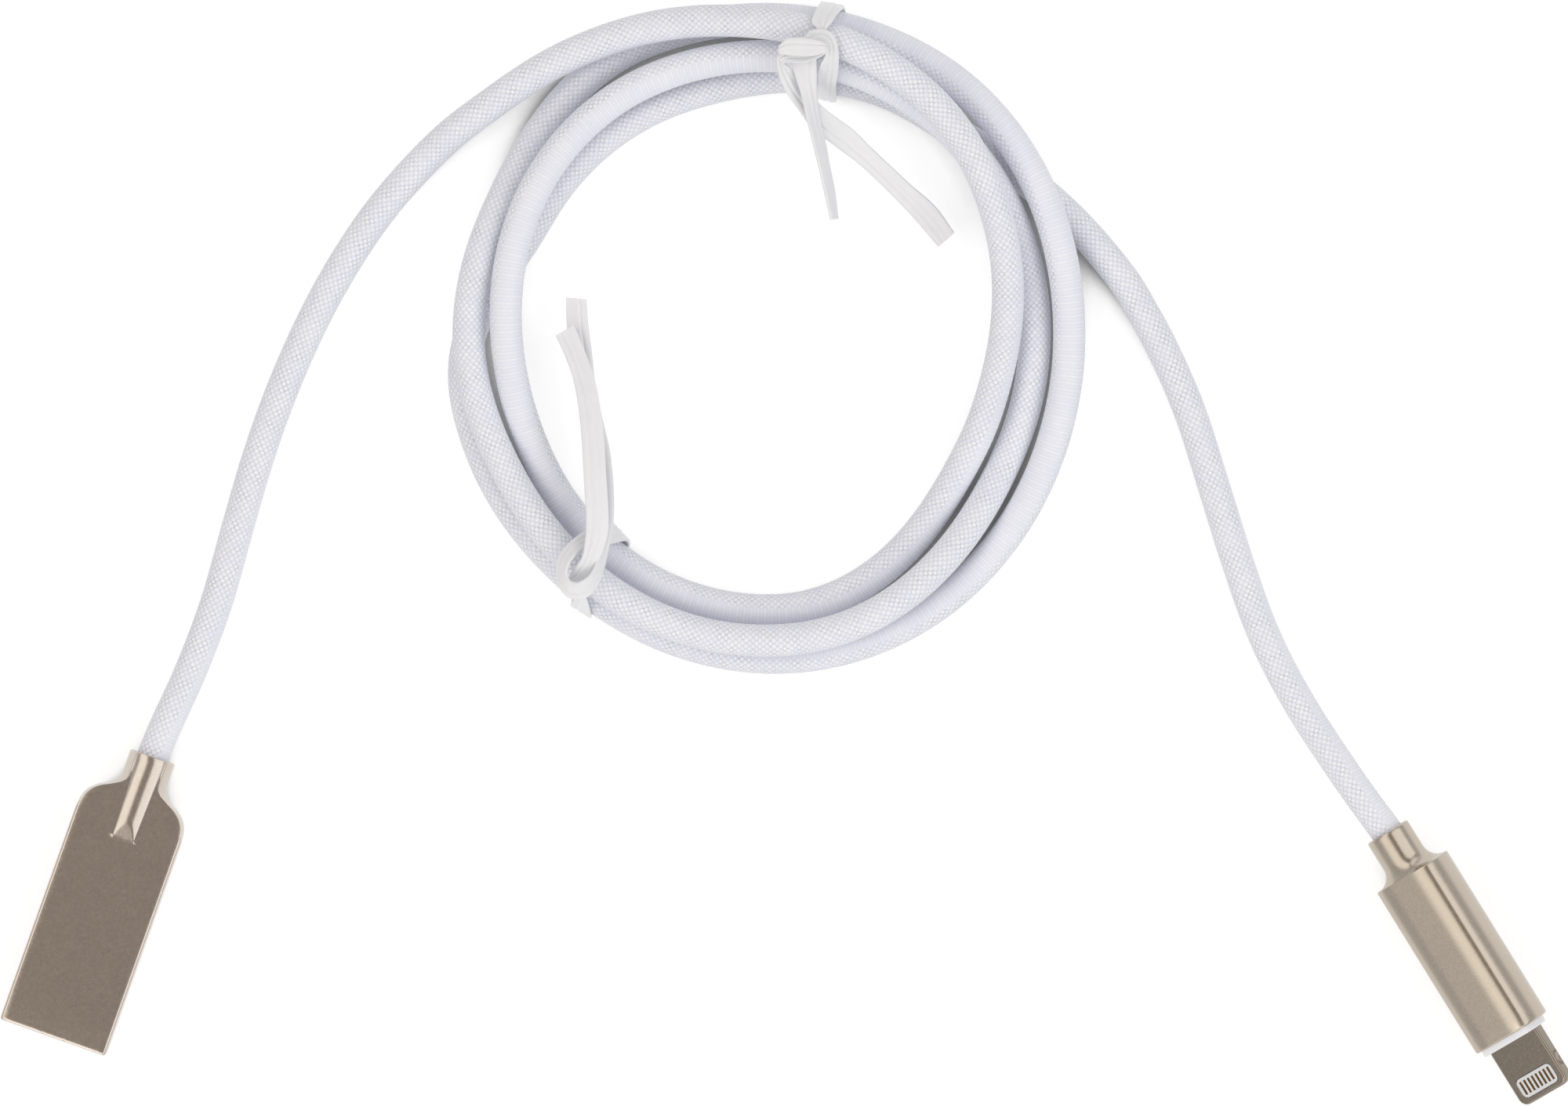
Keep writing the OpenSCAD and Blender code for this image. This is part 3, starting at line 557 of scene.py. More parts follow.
def makeBraidGroup():
    # two zones that wind slowly round the cord: beads in a honeycomb, and ribs across the cord
    tree = bpy.data.node_groups.new("braidPattern", "ShaderNodeTree")
    sockets(tree, "Float", ["Along"])
    sockets(tree, "Vector", ["Around"])
    sockets(tree, "Float", ["Columns", "Pick", "Twist", "Start", "Zone"])
    sockets(tree, "Float", ["Bead", "Rib", "Beaded", "Fleck", "Fibre"], "OUTPUT")
    inlet = tree.nodes.new("NodeGroupInput")
    outlet = tree.nodes.new("NodeGroupOutput")
    along, around, columns, pick, twist, start, zone = inlet.outputs[:7]
    split = tree.nodes.new("ShaderNodeSeparateXYZ")
    put(tree, split, 0, around)
    angle = calc(tree, "ARCTAN2", calc(tree, "MULTIPLY", split.outputs[0], -1.0),
                 calc(tree, "MULTIPLY", split.outputs[1], -1.0))
    middle = calc(tree, "MULTIPLY_ADD", along, twist, start)
    facing = calc(tree, "COSINE", calc(tree, "SUBTRACT", angle, middle))
    beaded = rangeOf(tree, calc(tree, "SUBTRACT", facing, zone), -0.1, 0.1, 0.0, 1.0)
    place = calc(tree, "MULTIPLY", calc(tree, "ADD", calc(tree, "DIVIDE", angle, 2 * math.pi), 1.0), columns)
    row = calc(tree, "DIVIDE", along, pick)

    def cell(shift):
        # way to the nearest bead of one half of the beads, in bead radii
        u = calc(tree, "ADD", place, shift)
        v = calc(tree, "ADD", row, shift)
        x = calc(tree, "SUBTRACT", u, calc(tree, "ROUND", u))
        y = calc(tree, "SUBTRACT", v, calc(tree, "ROUND", v))
        x = calc(tree, "MULTIPLY", x, braidLook["beadsAcross"])
        y = calc(tree, "MULTIPLY", y, braidLook["beadsAlong"])
        far = calc(tree, "ADD", calc(tree, "MULTIPLY", x, x), calc(tree, "MULTIPLY", y, y))
        return far, x, y, calc(tree, "ROUND", u), calc(tree, "ROUND", v)

    even, odd = cell(0.0), cell(0.5)
    first = calc(tree, "LESS_THAN", even[0], odd[0])
    far, x, y, number, line = [calc(tree, "MULTIPLY_ADD", calc(tree, "SUBTRACT", a, b), first, b)
                               for a, b in zip(even, odd)]
    dome = calc(tree, "SUBTRACT", 1.0, calc(tree, "POWER", far, 1.5), clip=True)
    lean = calc(tree, "MULTIPLY", calc(tree, "MULTIPLY_ADD", first, 2.0, -1.0), x)
    wave = calc(tree, "SINE", calc(tree, "MULTIPLY", calc(tree, "MULTIPLY_ADD", lean, 0.5, y),
                                    braidLook["fibres"]))
    seed = tree.nodes.new("ShaderNodeCombineXYZ")
    put(tree, seed, 0, calc(tree, "MODULO", number, columns))
    put(tree, seed, 1, line)
    put(tree, seed, 2, first)
    chance = tree.nodes.new("ShaderNodeTexWhiteNoise")
    chance.noise_dimensions = "3D"
    put(tree, chance, "Vector", seed.outputs[0])
    # ribs wander a little and fade in places
    spot = tree.nodes.new("ShaderNodeCombineXYZ")
    put(tree, spot, 0, calc(tree, "MULTIPLY", row, 2.0))
    put(tree, spot, 1, calc(tree, "MULTIPLY", split.outputs[0], 3.0))
    put(tree, spot, 2, calc(tree, "MULTIPLY", split.outputs[1], 3.0))
    wander = calc(tree, "SUBTRACT", noise(tree, spot.outputs[0], 1.3, 2.0), 0.5)
    rows = calc(tree, "MULTIPLY_ADD", row, 2.0, calc(tree, "MULTIPLY", wander, braidLook["ribWander"]))
    off = calc(tree, "ABSOLUTE", calc(tree, "SUBTRACT", rows, calc(tree, "ROUND", rows)))
    rib = calc(tree, "SUBTRACT", 1.0, calc(tree, "MULTIPLY", off, braidLook["ribThin"]), clip=True)
    swell = calc(tree, "COSINE", calc(tree, "MULTIPLY", row, 2 * math.pi))
    pulse = calc(tree, "MULTIPLY_ADD", swell, 0.3, 0.7)
    fade = rangeOf(tree, noise(tree, spot.outputs[0], 2.3, 1.0), 0.3, 0.62, 0.35, 1.0)
    put(tree, outlet, 0, calc(tree, "POWER", dome, 0.5))
    put(tree, outlet, 1, calc(tree, "MULTIPLY", calc(tree, "MULTIPLY", rib, fade), pulse))
    put(tree, outlet, 2, beaded)
    put(tree, outlet, 3, chance.outputs["Value"])
    put(tree, outlet, 4, calc(tree, "MULTIPLY_ADD", wave, 0.5, 0.5))
    return tree


braidLook = {
    # the thread colour is the yarn's own; the gap and pinhole colours are painted shade, and the bright
    # colour is a painted highlight on bead tops and rib crests
    "thread": (0.84, 0.855, 0.94), "gap": (0.77, 0.785, 0.895), "brightSpeckAndHighlight": (0.965, 0.98, 1.0),
    "pinholeShade": (0.64, 0.65, 0.75), "roughness": 0.6, "bump": 0.6, "depth": 0.00008,
    "beadsAcross": 2.5, "beadsAlong": 3.2, "fibres": 16.0, "ribWander": 0.45, "ribThin": 3.2,
    # the beaded zone: half its angle, its middle at the start, and its winding in degrees per mm
    "zone": 125, "zoneStart": 110, "zoneTurn": -1.153,
}


def makeBraidFinish():
    finish, tree, shader = startFinish("whiteBraid")
    along = tree.nodes.new("ShaderNodeAttribute")
    along.attribute_name = "alongCord"
    around = tree.nodes.new("ShaderNodeAttribute")
    around.attribute_name = "aroundCord"
    pattern = tree.nodes.new("ShaderNodeGroup")
    pattern.node_tree = makeBraidGroup()
    put(tree, pattern, "Along", along.outputs["Fac"])
    put(tree, pattern, "Around", around.outputs["Vector"])
    pattern.inputs["Columns"].default_value = cord["columns"]
    pattern.inputs["Pick"].default_value = cord["pick"] * 0.001
    pattern.inputs["Twist"].default_value = math.radians(braidLook["zoneTurn"]) * 1000
    pattern.inputs["Start"].default_value = math.radians(braidLook["zoneStart"])
    pattern.inputs["Zone"].default_value = math.cos(math.radians(braidLook["zone"]))
    bead, rib, beaded, fleck, fibre = pattern.outputs
    thread, brightSpeckAndHighlight = (*braidLook["thread"], 1), (*braidLook["brightSpeckAndHighlight"], 1)
    # painted shade: gaps round the beads and pinholes darker than the yarn; painted highlight: bead tops
    # brighter by a random amount, rib crests brighter; the same masks also drive the bump
    hollowShade = mixColour(tree, calc(tree, "GREATER_THAN", fleck, 0.85), (*braidLook["gap"], 1),
                       (*braidLook["pinholeShade"], 1))
    beadHighlight = mixColour(tree, rangeOf(tree, fleck, 0.0, 1.0, 0.35, 1.0), thread, brightSpeckAndHighlight)
    paintedBeadShading = mixColour(tree, bead, hollowShade, beadHighlight)
    ribHighlight = mixColour(tree, rib, thread, brightSpeckAndHighlight)
    body = mixColour(tree, beaded, ribHighlight, paintedBeadShading)
    cloud = noise(tree, objectPlace(tree), 260.0, 2.0)
    tint = mixColour(tree, rangeOf(tree, cloud, 0.35, 0.65, 0.0, 1.0), (0.965, 0.97, 0.985, 1), (1, 1, 1, 1))
    put(tree, shader, "Base Color", mixColour(tree, 1.0, body, tint, "MULTIPLY"))
    put(tree, shader, "Roughness", rangeOf(tree, fibre, 0.0, 1.0, braidLook["roughness"] + 0.08,
                                           braidLook["roughness"] - 0.08))
    ridges = calc(tree, "MULTIPLY", rib, 0.35)
    beads = calc(tree, "MULTIPLY_ADD", fibre, 0.08, bead)
    height = calc(tree, "MULTIPLY_ADD", calc(tree, "SUBTRACT", beads, ridges), beaded, ridges)
    put(tree, shader, "Normal", bump(tree, height, braidLook["bump"], braidLook["depth"]))
    shader.inputs["Sheen Weight"].default_value = 0.12
    shader.inputs["Sheen Roughness"].default_value = 0.4
    return finish


def makeCord():
    mesh = bpy.data.meshes.new("cordLine")
    points = [metres(p) for p in cordLine]
    mesh.from_pydata(points, [(i, i + 1) for i in range(len(points) - 1)], [])
    piece = addPiece("braided_cord", mesh)
    modifier = piece.modifiers.new("braid", "NODES")
    modifier.node_group = makeBraidTree()
    setInput(modifier, "Radius", cord["radius"] * 0.001)
    setInput(modifier, "Columns", cord["columns"])
    setInput(modifier, "Pick", cord["pick"] * 0.001)
    setInput(modifier, "Relief", cord["relief"] * 0.001)
    setInput(modifier, "Finish", makeBraidFinish())
    makePlain(piece)
    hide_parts("charger_lead", "cord_coil", "phone_lead")
    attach(piece, "root")
    print("cord made:", len(piece.data.polygons), "faces")
    return piece


braidedCord = makeCord()


# Charger plug
charger = {
    "length": 32.1, "neckRadius": 2.525, "wall": 0.4,
    "roof": 1.925, "floor": -2.575, "bore": 1.85, "chamberAt": 8.2,
    "outline": [(2.5, 2.525), (2.9, 2.56), (3.3, 2.68), (3.7, 2.98), (4.0, 3.38), (4.3, 3.86),
                (4.64, 4.46), (4.92, 4.84), (5.23, 5.19), (5.5, 5.42), (5.85, 5.63), (6.2, 5.8),
                (6.7, 5.93), (7.3, 6.0)],
    "edge": 0.34, "softEdge": 0.12, "squareFrom": 6.6, "squareOver": 1.2,
    # rounded ends: step in from the surface, and place from the end
    "rim": [(0.62, 0.04), (0.25, 0.0), (0.1, 0.03), (0.03, 0.1)],
    "lip": [(0.03, 0.17), (0.1, 0.05), (0.2, 0.0), (0.34, 0.0), (0.4, 0.06)],
    "ridgeEnd": 9.55, "ridgeHalf": [(0, 1.56), (2.6, 1.38), (9.55, 1.15)], "ridgeWall": 0.07,
    "ridgeSlope": 0.2,
}


def chargerHalfRing(depth, shrink=0.0):
    # right half of the plug's section, from the top of the ridge to the middle of the back
    c = charger
    body = blendTable(c["outline"], depth) - shrink
    roof, floor = c["roof"] - shrink, c["floor"] + shrink
    half = blendTable(c["ridgeHalf"], depth)
    crown = c["neckRadius"]
    edgeTop = math.sqrt(crown ** 2 - half ** 2)
    baseAtEdge = min(roof, math.sqrt(max(body ** 2 - half ** 2, 0)))
    sunk = edgeTop - baseAtEdge - c["ridgeWall"]
    slant = max(0.0, (c["ridgeEnd"] - depth) * c["ridgeSlope"])
    points = []
    for i in range(13):
        x = half * math.sin(math.pi / 2 * i / 12)
        z = math.sqrt(crown ** 2 - x ** 2) - sunk
        base = min(roof, math.sqrt(max(body ** 2 - x ** 2, 0)))
        points.append((x, min(z - shrink, base + slant)))
    plateEnd = math.sqrt(max(body ** 2 - roof ** 2, 0.01))
    square = smooth((depth - c["squareFrom"]) / c["squareOver"])
    edge = c["softEdge"] + (c["edge"] - c["softEdge"]) * square
    start = half + 0.05
    stop = max(start + 0.02, plateEnd + (body - plateEnd - edge) * square - c["softEdge"] * (1 - square))
    for i in range(9):
        x = start + (stop - start) * i / 8
        points.append((x, min(roof, math.sqrt(max(body ** 2 - x ** 2, 0)))))
    # side wall: a round one on neck and shoulders, an upright one with soft edges on the body
    top, low = math.asin(min(1, roof / body)), math.asin(max(-1, floor / body))
    first = top - edge / body
    last = low + edge / body
    for i in range(19):
        if i < 4:
            k = (i + 1) / 4 * math.pi / 2
            upright = (body - edge + edge * math.sin(k), roof - edge + edge * math.cos(k))
            a = top + (first - top) * (i + 1) / 4
        elif i > 14:
            k = (i - 15) / 3 * math.pi / 2
            upright = (body - edge + edge * math.cos(k), floor + edge - edge * math.sin(k))
            a = last + (low - last) * (i - 15) / 3
        else:
            upright = (body, roof - edge + (floor + edge - (roof - edge)) * (i - 3) / 12)
            a = first + (last - first) * (i - 3) / 12
        rounded = (body * math.cos(a), body * math.sin(a))
        points.append(tuple(r + (u - r) * square for r, u in zip(rounded, upright)))
    backEnd = points[-1][0]
    for i in range(1, 9):
        x = backEnd * (1 - i / 8)
        points.append((x, max(floor, -math.sqrt(max(body ** 2 - x ** 2, 0)))))
    return points


def chargerRing(depth, shrink=0.0):
    half = chargerHalfRing(depth, shrink)
    full = half + [(-x, z) for x, z in half[-2:0:-1]]
    return [(x, -depth, z) for x, z in full]


def makeChargerShell(finish):
    c = charger
    neck = c["neckRadius"]
    rings = []
    for out, depth in c["rim"]:
        share = (neck - out) / neck
        rings.append([(x * share, -depth, z * share) for x, _, z in chargerRing(0)])
    # close rings over shoulders and ridge
    depths = [0.2, 0.8, 1.6, 2.3]
    depths += [2.5 + 0.12 * i for i in range(34)]
    depths += [6.7 + 0.25 * i for i in range(14)]
    depths += [10.4, 13, 16, 20, 24, 28, 31.7]
    rings += [chargerRing(d) for d in depths]
    rings += [chargerRing(c["length"] - back, shrink) for shrink, back in c["lip"]]
    inside = chargerRing(25, c["wall"])
    for depth in (c["length"] - 0.3, 24, 16, c["chamberAt"]):
        rings.append([(x, -depth, z) for x, _, z in inside])
    middle = (c["roof"] + c["floor"]) / 2
    bore = []
    for x, _, z in inside:
        a = math.atan2(z - middle, x)
        bore.append((c["bore"] * math.cos(a), c["bore"] * math.sin(a)))
    for depth in (c["chamberAt"], 4, 0.15):
        rings.append([(x, -depth, z) for x, z in bore])
    mesh = loft("charger_body", rings, chargerPlace, joined=True, sharpFrom=32)
    piece = addPiece("charger_body", mesh, finish)
    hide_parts("charger_plug_shell")
    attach(piece, "root")


plugMetal = plainFinish("plugMetal", (0.60, 0.54, 0.48), 0.22, 1.0, 3200.0, 0.05, 0.3, 0.03, 0.03)
makeChargerShell(plugMetal)
print("charger plug made")


# Phone plug
barrel = {
    "radius": 4.4, "flat": 2.9, "neckRadius": 2.5, "rimAt": 5.05, "rimStep": 0.12, "length": 25.45,
    "wall": 0.55, "bore": 1.85, "boreEnd": 6.45, "softness": 1.2, "sides": 144,
    # neck's end: depth and radius; flare's rim and barrel's end: step from it, step in
    "mouth": [(0.12, 1.9), (0.0, 2.1), (0.0, 2.3), (0.04, 2.42), (0.14, 2.49)],
    "rim": [(0.02, 0.09), (0.08, 0.02), (0.18, 0.0)],
    "lip": [(0.25, 0.0), (0.1, 0.03), (0.02, 0.1), (0.0, 0.2), (0.0, 0.45)],
}


def softMin(a, b, k):
    h = clamp(0.5 + 0.5 * (b - a) / k)
    return b + (a - b) * h - k * h * (1 - h)


def barrelRing(depth, radius, shrink=0.0):
    b = barrel
    ring = []
    for i in range(b["sides"]):
        a = 2 * math.pi * i / b["sides"]
        flat = (b["flat"] - shrink) / max(abs(math.sin(a)), 1e-3)
        r = radius - shrink
        if flat < r * 3:
            r = softMin(r, flat, b["softness"])
        ring.append((r * math.cos(a), -depth, r * math.sin(a)))
    return ring


def makeBarrel(finish):
    b = barrel
    rings = [barrelRing(depth, radius) for depth, radius in b["mouth"]]
    rings += [barrelRing(depth, b["neckRadius"]) for depth in (0.3, 1.5, 2.8)]
    rise = b["radius"] - b["rimStep"] - b["neckRadius"]
    start = b["rimAt"] - rise
    for i in range(13):
        t = math.pi / 2 * i / 12
        rings.append(barrelRing(start + rise * math.sin(t), b["neckRadius"] + rise * (1 - math.cos(t))))
    rings += [barrelRing(b["rimAt"] + on, b["radius"] - inset) for on, inset in b["rim"]]
    rings += [barrelRing(d, b["radius"]) for d in (6, 9, 13, 17, 21, 24)]
    end = b["length"]
    rings += [barrelRing(end - back, b["radius"], shrink) for back, shrink in b["lip"]]
    rings += [barrelRing(d, b["radius"], b["wall"]) for d in (end - 0.06, end - 1, 16, b["boreEnd"])]
    rings += [barrelRing(b["boreEnd"], b["bore"]), barrelRing(3, b["bore"])]
    mesh = loft("phone_barrel", rings, phonePlace, joined=True, sharpFrom=38)
    piece = addPiece("phone_barrel", mesh, finish)
    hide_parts("phone_plug_barrel")
    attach(piece, "root")


barrelMetal = plainFinish("barrelMetal", (0.52, 0.46, 0.385), 0.26, 1.0, 3200.0, 0.03, 0.0, 0.015, 0.03)
makeBarrel(barrelMetal)


def softNode(node, name, width, finish, segments=2):
    piece = addPiece(name, softened(node, width, segments), finish)
    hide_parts(node)
    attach(piece, "root")


tab = {
    "width": 6.7, "thick": 1.5, "tip": 33.05, "back": 21.6, "corner": 1.0, "edge": 0.28,
    "notchAt": 2.85, "notchRadius": 1.5, "notchDepth": 0.36, "notchHalf": 0.44,
    "windowWidth": 4.9, "windowLength": 2.25, "windowSetback": 0.7, "windowCorner": 0.6,
    "rays": 160, "cornerIn": 0.3, "cornerStep": 0.02,
}


def fromRoundBox(point, middle, half, corner):
    # how far a point lies outside a box with round corners
    x = abs(point[0] - middle[0]) - half[0] + corner
    y = abs(point[1] - middle[1]) - half[1] + corner
    return math.hypot(max(x, 0), max(y, 0)) + min(max(x, y), 0) - corner


def tabLoop(z, inset=0.0, window=False):
    # a loop of the tab's outline, or of its window, on rays from the window's middle
    t = tab
    middle = (0, -t["tip"] + t["windowSetback"] + t["windowLength"] / 2)
    outlineMiddle = (0, -(t["tip"] + t["back"]) / 2)
    outlineHalf = (t["width"] / 2, (t["tip"] - t["back"]) / 2)
    windowHalf = (t["windowWidth"] / 2, t["windowLength"] / 2)
    depth = t["notchDepth"] * (1 - (z / t["notchHalf"]) ** 2)

    def outside(point):
        if window:
            return fromRoundBox(point, middle, windowHalf, t["windowCorner"]) + inset
        far = fromRoundBox(point, outlineMiddle, outlineHalf, t["corner"]) + inset
        if depth > 0:
            x = t["width"] / 2 + t["notchRadius"] - depth
            y = -t["tip"] + t["notchAt"]
            far = max(far, t["notchRadius"] - math.hypot(abs(point[0]) - x, point[1] - y))
        return far

    corner = math.atan2(-t["back"] - t["cornerIn"] - middle[1], t["width"] / 2 - t["cornerIn"])
    atCorners = [corner, math.pi - corner, corner + t["cornerStep"], math.pi - corner - t["cornerStep"]]
    turns = sorted([2 * math.pi * i / t["rays"] for i in range(t["rays"])] + atCorners)
    loop = []
    for turn in turns:
        way = (math.cos(turn), math.sin(turn))
        near, far = 0.0, 14.0
        for _ in range(34):
            half = (near + far) / 2
            if outside((middle[0] + half * way[0], middle[1] + half * way[1])) < 0:
                near = half
            else:
                far = half
        loop.append((middle[0] + near * way[0], middle[1] + near * way[1], z))
    return loop


def makeTab(finish):
    t = tab
    top, edge = t["thick"] / 2, t["edge"]
    upper = [tabLoop(z) for z in (0, 0.1, 0.2, 0.3, 0.37, 0.42, 0.44, 0.455)]
    for i in range(1, 6):
        a = math.pi / 2 * i / 5
        upper.append(tabLoop(top - edge + edge * math.sin(a), edge * (1 - math.cos(a))))
    upper.append(tabLoop(top, edge + 0.03))  # keeps the face's shading flat
    upper += [tabLoop(top, -0.09, window=True), tabLoop(top - 0.05, -0.04, window=True)]
    lower = [[(x, y, -z) for x, y, z in loop] for loop in reversed(upper[1:])]
    mesh = loft("phone_tab", lower + upper, phonePlace, joined=True, sharpFrom=30)
    piece = addPiece("phone_tab", mesh, finish)
    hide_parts("phone_plug_tab")
    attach(piece, "root")


tabMetal = plainFinish("tabMetal", (0.30, 0.26, 0.215), 0.2, 1.0, 3200.0, 0.04, 0.0, 0.015, 0.03)
makeTab(tabMetal)
collarPlastic = plainFinish("collarPlastic", (0.86, 0.87, 0.90), 0.35, 0.0, 1200.0, 0.05, 0.0, 0.08)
windowPlastic = plainFinish("windowPlastic", (0.70, 0.72, 0.74), 0.35, 0.0, 1500.0, 0.05, 0.0, 0.08)
tonguePlastic = plainFinish("tonguePlastic", (0.80, 0.80, 0.80), 0.45, 0.0, 1200.0, 0.06, 0.0, 0.1)
softNode("phone_plug_collar", "phone_collar", 0.18, collarPlastic, 3)
softNode("charger_plug_tongue", "charger_tongue", 0.08, tonguePlastic)
print("phone plug made")


# Twist ties
tie = {
    "width": 2.5, "gap": 0.1, "thick": 0.6, "wire": 0.35, "wireSides": 8, "wireOut": 0.03,
    # heights over the first are drawn in to the second's share
    "fullTo": 12, "share": 0.7,
    # the ribbon's section: place over the width, half thickness
    "section": [(-1.25, 0.06), (-1.2, 0.16), (-0.9, 0.19), (-0.5, 0.18), (-0.32, 0.15),
                (-0.16, 0.22), (0.1, 0.25), (0.3, 0.2), (0.43, 0.1), (0.56, 0.19),
                (0.85, 0.21), (1.15, 0.16), (1.25, 0.06)],
}
# Listed stations of both edges of each ribbon: steps right and down from the corner,
# and height in mm, of the one edge and of the other. In between it goes round the turns.
tieWay = {
    "top": {
        "corner": (-3.3755, 99.662), "step": 0.014065, "angle": 12, "angles": (14, 11.4),
        "before": [
            (1420, 1890, 2.2, 1543, 1783, 3.0), (1250, 1690, 3.0, 1400, 1585, 3.8),
            (1100, 1530, 4.0, 1205, 1412, 4.9), (960, 1390, 5.0, 1055, 1272, 6.0),
            (805, 1250, 6.0, 905, 1130, 7.0), (665, 1145, 7.0, 770, 995, 7.8),
            (550, 1060, 8.0, 645, 905, 8.8), (450, 980, 9.2, 540, 820, 9.6),
            (345, 835, 10.4, 450, 725, 10.0), (262, 715, 11.4, 370, 630, 10.8),
            (203, 590, 12.2, 310, 540, 11.6), (184, 480, 12.8, 262, 500, 12.4),
            (196, 425, 13.3, 246, 482, 13.3), (262, 395, 13.4, 285, 479, 14.0),
            (375, 392, 13.4, 380, 480, 14.1), (455, 385, 13.5, 455, 464, 14.1),
            (525, 372, 13.8, 520, 432, 14.2), (562, 358, 14.5, 574, 400, 14.5),
            (540, 325, 15.1, 545, 408, 15.2), (440, 297, 15.4, 465, 430, 15.4),
            (340, 288, 15.4, 360, 433, 15.4), (262, 297, 15.2, 265, 425, 15.2),
            (210, 350, 14.7, 203, 412, 14.6), (235, 325, 14.1, 245, 390, 13.6),
            (300, 292, 13.9, 330, 380, 13.3), (385, 283, 13.7, 430, 380, 13.1),
            (445, 235, 13.5, 480, 372, 13.1), (525, 224, 13.4, 530, 352, 13.1),
            (592, 242, 13.2, 552, 385, 13.0), (640, 312, 13.0, 552, 425, 12.8),
            (660, 420, 12.6, 520, 490, 12.3), (653, 560, 10.2, 500, 560, 10.0),
            (640, 650, 7.4, 498, 650, 7.2)],
        "after": [
            (700, 60, 7.5, 515, 30, 7.5), (645, 112, 11.0, 475, 100, 11.2),
            (600, 180, 12.5, 452, 180, 12.3), (572, 215, 12.8, 490, 222, 12.6),
            (540, 270, 12.5, 430, 280, 12.3), (500, 350, 12.5, 360, 360, 12.5),
            (490, 430, 12.5, 318, 440, 12.5), (490, 510, 12.3, 300, 490, 12.3),
            (492, 600, 11.7, 330, 600, 12.2), (492, 700, 11.0, 370, 720, 12.0),
            (502, 820, 10.2, 403, 850, 11.6), (528, 980, 9.2, 440, 1000, 11.0),
            (560, 1120, 8.2, 478, 1150, 10.3), (593, 1300, 7.2, 520, 1320, 9.4),
            (628, 1480, 6.4, 560, 1500, 8.6), (650, 1675, 5.8, 602, 1685, 8.0)]},
    "bottom": {
        "corner": (-28.6920, 69.283), "step": 0.021097, "angle": 217, "angles": (216.5, 214.1),
        "before": [
            (351, 90, 6.0, 249, 80, 5.6), (362, 220, 6.4, 253, 235, 6.0),
            (378, 340, 6.8, 275, 350, 6.4), (398, 520, 7.6, 298, 530, 7.2),
            (435, 700, 8.4, 335, 710, 8.0), (470, 850, 9.2, 370, 860, 8.8),
            (488, 1000, 9.8, 388, 1005, 9.4), (493, 1150, 10.2, 392, 1150, 9.8),
            (488, 1250, 10.2, 395, 1245, 10.0), (465, 1360, 9.9, 395, 1350, 10.6),
            (443, 1450, 9.7, 402, 1438, 11.5), (415, 1535, 9.8, 374, 1492, 11.8),
            (370, 1598, 10.1, 340, 1521, 12.0), (312, 1620, 10.3, 302, 1537, 12.0),
            (252, 1602, 10.4, 268, 1527, 12.0), (212, 1545, 10.4, 250, 1488, 12.0),
            (200, 1460, 10.3, 262, 1440, 11.8), (220, 1385, 10.1, 292, 1395, 11.3),
            (265, 1330, 9.8, 332, 1365, 10.4), (315, 1288, 9.4, 378, 1348, 9.5),
            (375, 1250, 8.4, 440, 1345, 8.2), (430, 1230, 7.0, 505, 1330, 6.8),
            (476, 1226, 5.6, 558, 1320, 5.4)],
        "after": [
            (272, 1645, 6.2, 366, 1650, 6.2), (288, 1612, 8.2, 350, 1610, 8.2),
            (275, 1570, 9.0, 338, 1575, 9.0), (262, 1505, 9.7, 285, 1532, 9.4),
            (285, 1470, 10.6, 335, 1515, 9.8), (330, 1400, 11.8, 390, 1455, 10.8),
            (346, 1310, 12.3, 436, 1370, 11.4), (350, 1220, 12.4, 463, 1270, 11.6),
            (345, 1110, 12.2, 462, 1130, 11.8), (336, 960, 11.6, 452, 970, 11.4),
            (327, 800, 10.8, 443, 810, 10.6), (312, 650, 10.0, 425, 655, 9.8),
            (285, 500, 9.0, 395, 500, 8.8), (248, 390, 8.2, 352, 375, 8.0),
            (196, 275, 7.4, 290, 222, 7.2)]},
}


def seenAt(x, y, z):
    # the place at height z that the view shows over (x, y) at the height where it is sharp
    near = (view["height"] - z * 0.001) / (view["height"] - view["sharpAt"])
    cx, cy = view["centre"][0] * 1000, view["centre"][1] * 1000
    return Vector((cx + (x - cx) * near, cy + (y - cy) * near, z))


def drawnIn(z):
    # keeps the knots' tops close to the parts' box
    return z if z < tie["fullTo"] else tie["fullTo"] + (z - tie["fullTo"]) * tie["share"]


def stationEdges(way, row):
    left, top, step = *way["corner"], way["step"]
    return [seenAt(left + row[i] * step, top - row[i + 1] * step, drawnIn(row[i + 2])) for i in (0, 3)]


def wrapEdges(way, turnFrom=180, turnTo=360, steps=12):
    # round all the turns, from the inner side beneath them to the outer side
    strands = [(coilRadius(t), coilHeight(t)) for t in range(way["angle"], coil["to"] + 1, 360)]
    out = cord["diameter"] / 2 + tie["gap"] + tie["thick"] / 2
    edges = []
    for k in range(steps + 1):
        part = k / steps
        turn = math.radians(turnFrom + (turnTo - turnFrom) * part)
        a = math.radians(way["angles"][0] + (way["angles"][1] - way["angles"][0]) * part)
        r, z = max(strands, key=lambda s: s[0] * math.cos(turn) + s[1] * math.sin(turn))
        r, z = r + out * math.cos(turn), z + out * math.sin(turn)
        spot = Vector((coil["centre"][0] + r * math.sin(a), coil["centre"][1] + r * math.cos(a), z))
        over = Vector((math.cos(a), -math.sin(a), 0)) * tie["width"] / 2
        edges.append([spot + over, spot - over])
    return edges


def tieFrames(way):
    # centre of the ribbon, way over its whole width, and way through it, at close steps
    edges = [stationEdges(way, row) for row in way["before"]] + wrapEdges(way)
    edges += [stationEdges(way, row) for row in way["after"]]
    one, other = smoothLine([e[0] for e in edges], 8), smoothLine([e[1] for e in edges], 8)
    middles = [(a + b) / 2 for a, b in zip(one, other)]
    frames = []
    for i, (a, b, middle) in enumerate(zip(one, other, middles)):
        along = (middles[min(i + 1, len(middles) - 1)] - middles[max(i - 1, 0)]).normalized()
        frames.append((middle, a - b, along.cross(a - b).normalized()))
    return frames


def dressTie(piece, node):
    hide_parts(node)
    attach(piece, "root")
    return piece


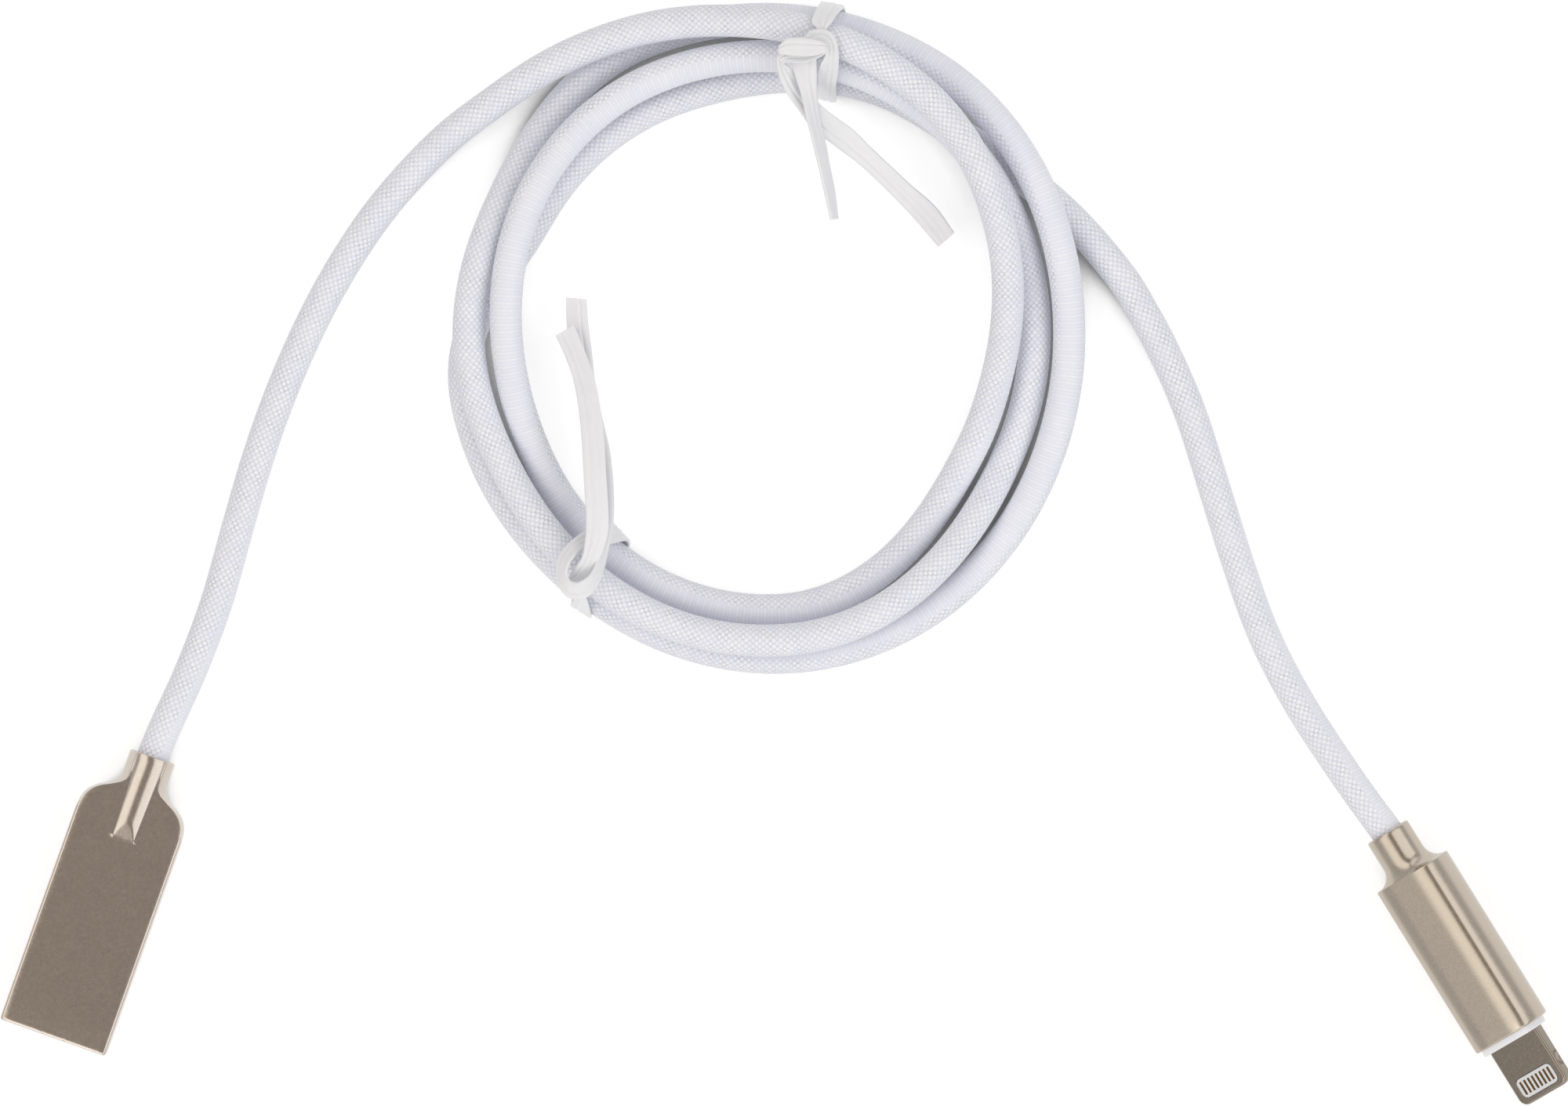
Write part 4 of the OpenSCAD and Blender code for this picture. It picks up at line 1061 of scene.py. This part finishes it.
def makeTie(which, finish, steel):
    millimetres = Matrix.Scale(0.001, 4)
    frames = tieFrames(tieWay[which])
    section = tie["section"] + [(x, -z) for x, z in reversed(tie["section"])]
    rings = [[p + x / tie["width"] * wide + z * thick for x, z in section] for p, wide, thick in frames]
    mesh = loft(which + "_tie", rings, millimetres, capped=True, sharpFrom=50)
    ribbon = addPiece(which + "_tie_ribbon", mesh, finish)
    turns = [2 * math.pi * i / tie["wireSides"] for i in range(tie["wireSides"])]
    rings = [[p + tie["wire"] / 2 * (math.cos(a) * wide.normalized() + math.sin(a) * thick) for a in turns]
             for p, wide, thick in frames]
    # the wire's first cut end stands out of the plastic by a hair
    stub = [p + tie["wireOut"] * (p - q).normalized() for p, q in zip(rings[0], rings[1])]
    mesh = loft(which + "_wire", [stub] + rings, millimetres, capped=True, sharpFrom=50)
    wire = addPiece(which + "_tie_steel", mesh, steel)
    return [dressTie(ribbon, which + "_tie"), dressTie(wire, which + "_tie_wire")]


tiePlastic = plainFinish("tiePlastic", (0.86, 0.87, 0.89), 0.36, 0.0, 700.0, 0.04, 0.0, 0.1)
tieSteel = plainFinish("tieSteel", (0.55, 0.55, 0.57), 0.35, 1.0, 1500.0, 0.1)
topTie = makeTie("top", tiePlastic, tieSteel)
bottomTie = makeTie("bottom", tiePlastic, tieSteel)
print("ties made")


# Finishes of the inner parts
innerFinish = {
    "charger_plug_contacts": plainFinish("goldContact", (0.50, 0.31, 0.12), 0.28, 1.0, 2400.0, 0.1),
    "charger_plug_solder": plainFinish("dullSolder", (0.58, 0.58, 0.60), 0.42, 1.0, 1600.0, 0.15),
    "charger_plug_crimp": plainFinish("crimpBrass", (0.60, 0.44, 0.18), 0.36, 1.0, 1500.0, 0.12),
    "charger_plug_filler": plainFinish("castFiller", (0.70, 0.66, 0.54), 0.55, 0.0, 500.0, 0.1),
    "charger_power_wire": plainFinish("redWire", (0.50, 0.02, 0.02), 0.4, 0.0, 900.0, 0.08),
    "charger_ground_wire": plainFinish("blackWire", (0.02, 0.02, 0.02), 0.4, 0.0, 900.0, 0.2),
    "charger_data_plus_wire": plainFinish("greenWire", (0.02, 0.25, 0.06), 0.4, 0.0, 900.0, 0.08),
    "charger_data_minus_wire": plainFinish("whiteWire", (0.78, 0.78, 0.76), 0.4, 0.0, 900.0, 0.06),
    "phone_plug_front_contacts": plainFinish("darkContact", (0.15, 0.085, 0.035), 0.3, 1.0, 2400.0, 0.1),
    "phone_plug_board": plainFinish("boardLacquer", (0.03, 0.16, 0.07), 0.35, 0.0, 1500.0, 0.15),
    "phone_plug_chip": plainFinish("chipCase", (0.025, 0.025, 0.027), 0.5, 0.0, 2000.0, 0.2),
    "phone_plug_capacitors": plainFinish("firedBody", (0.36, 0.25, 0.15), 0.5, 0.0, 1800.0, 0.15),
}
for node in ("plug_solder", "plug_crimp", "plug_filler", "power_wire", "ground_wire",
             "data_plus_wire", "data_minus_wire"):
    innerFinish["phone_" + node] = innerFinish["charger_" + node]
innerFinish["phone_plug_back_contacts"] = innerFinish["phone_plug_front_contacts"]
innerFinish["phone_plug_windows"] = windowPlastic
for node, finish in innerFinish.items():
    part = bpy.data.objects[node]
    for spot in part.material_slots:
        spot.material = finish
    if not part.material_slots:
        part.data.materials.append(finish)
print("inner finishes set")
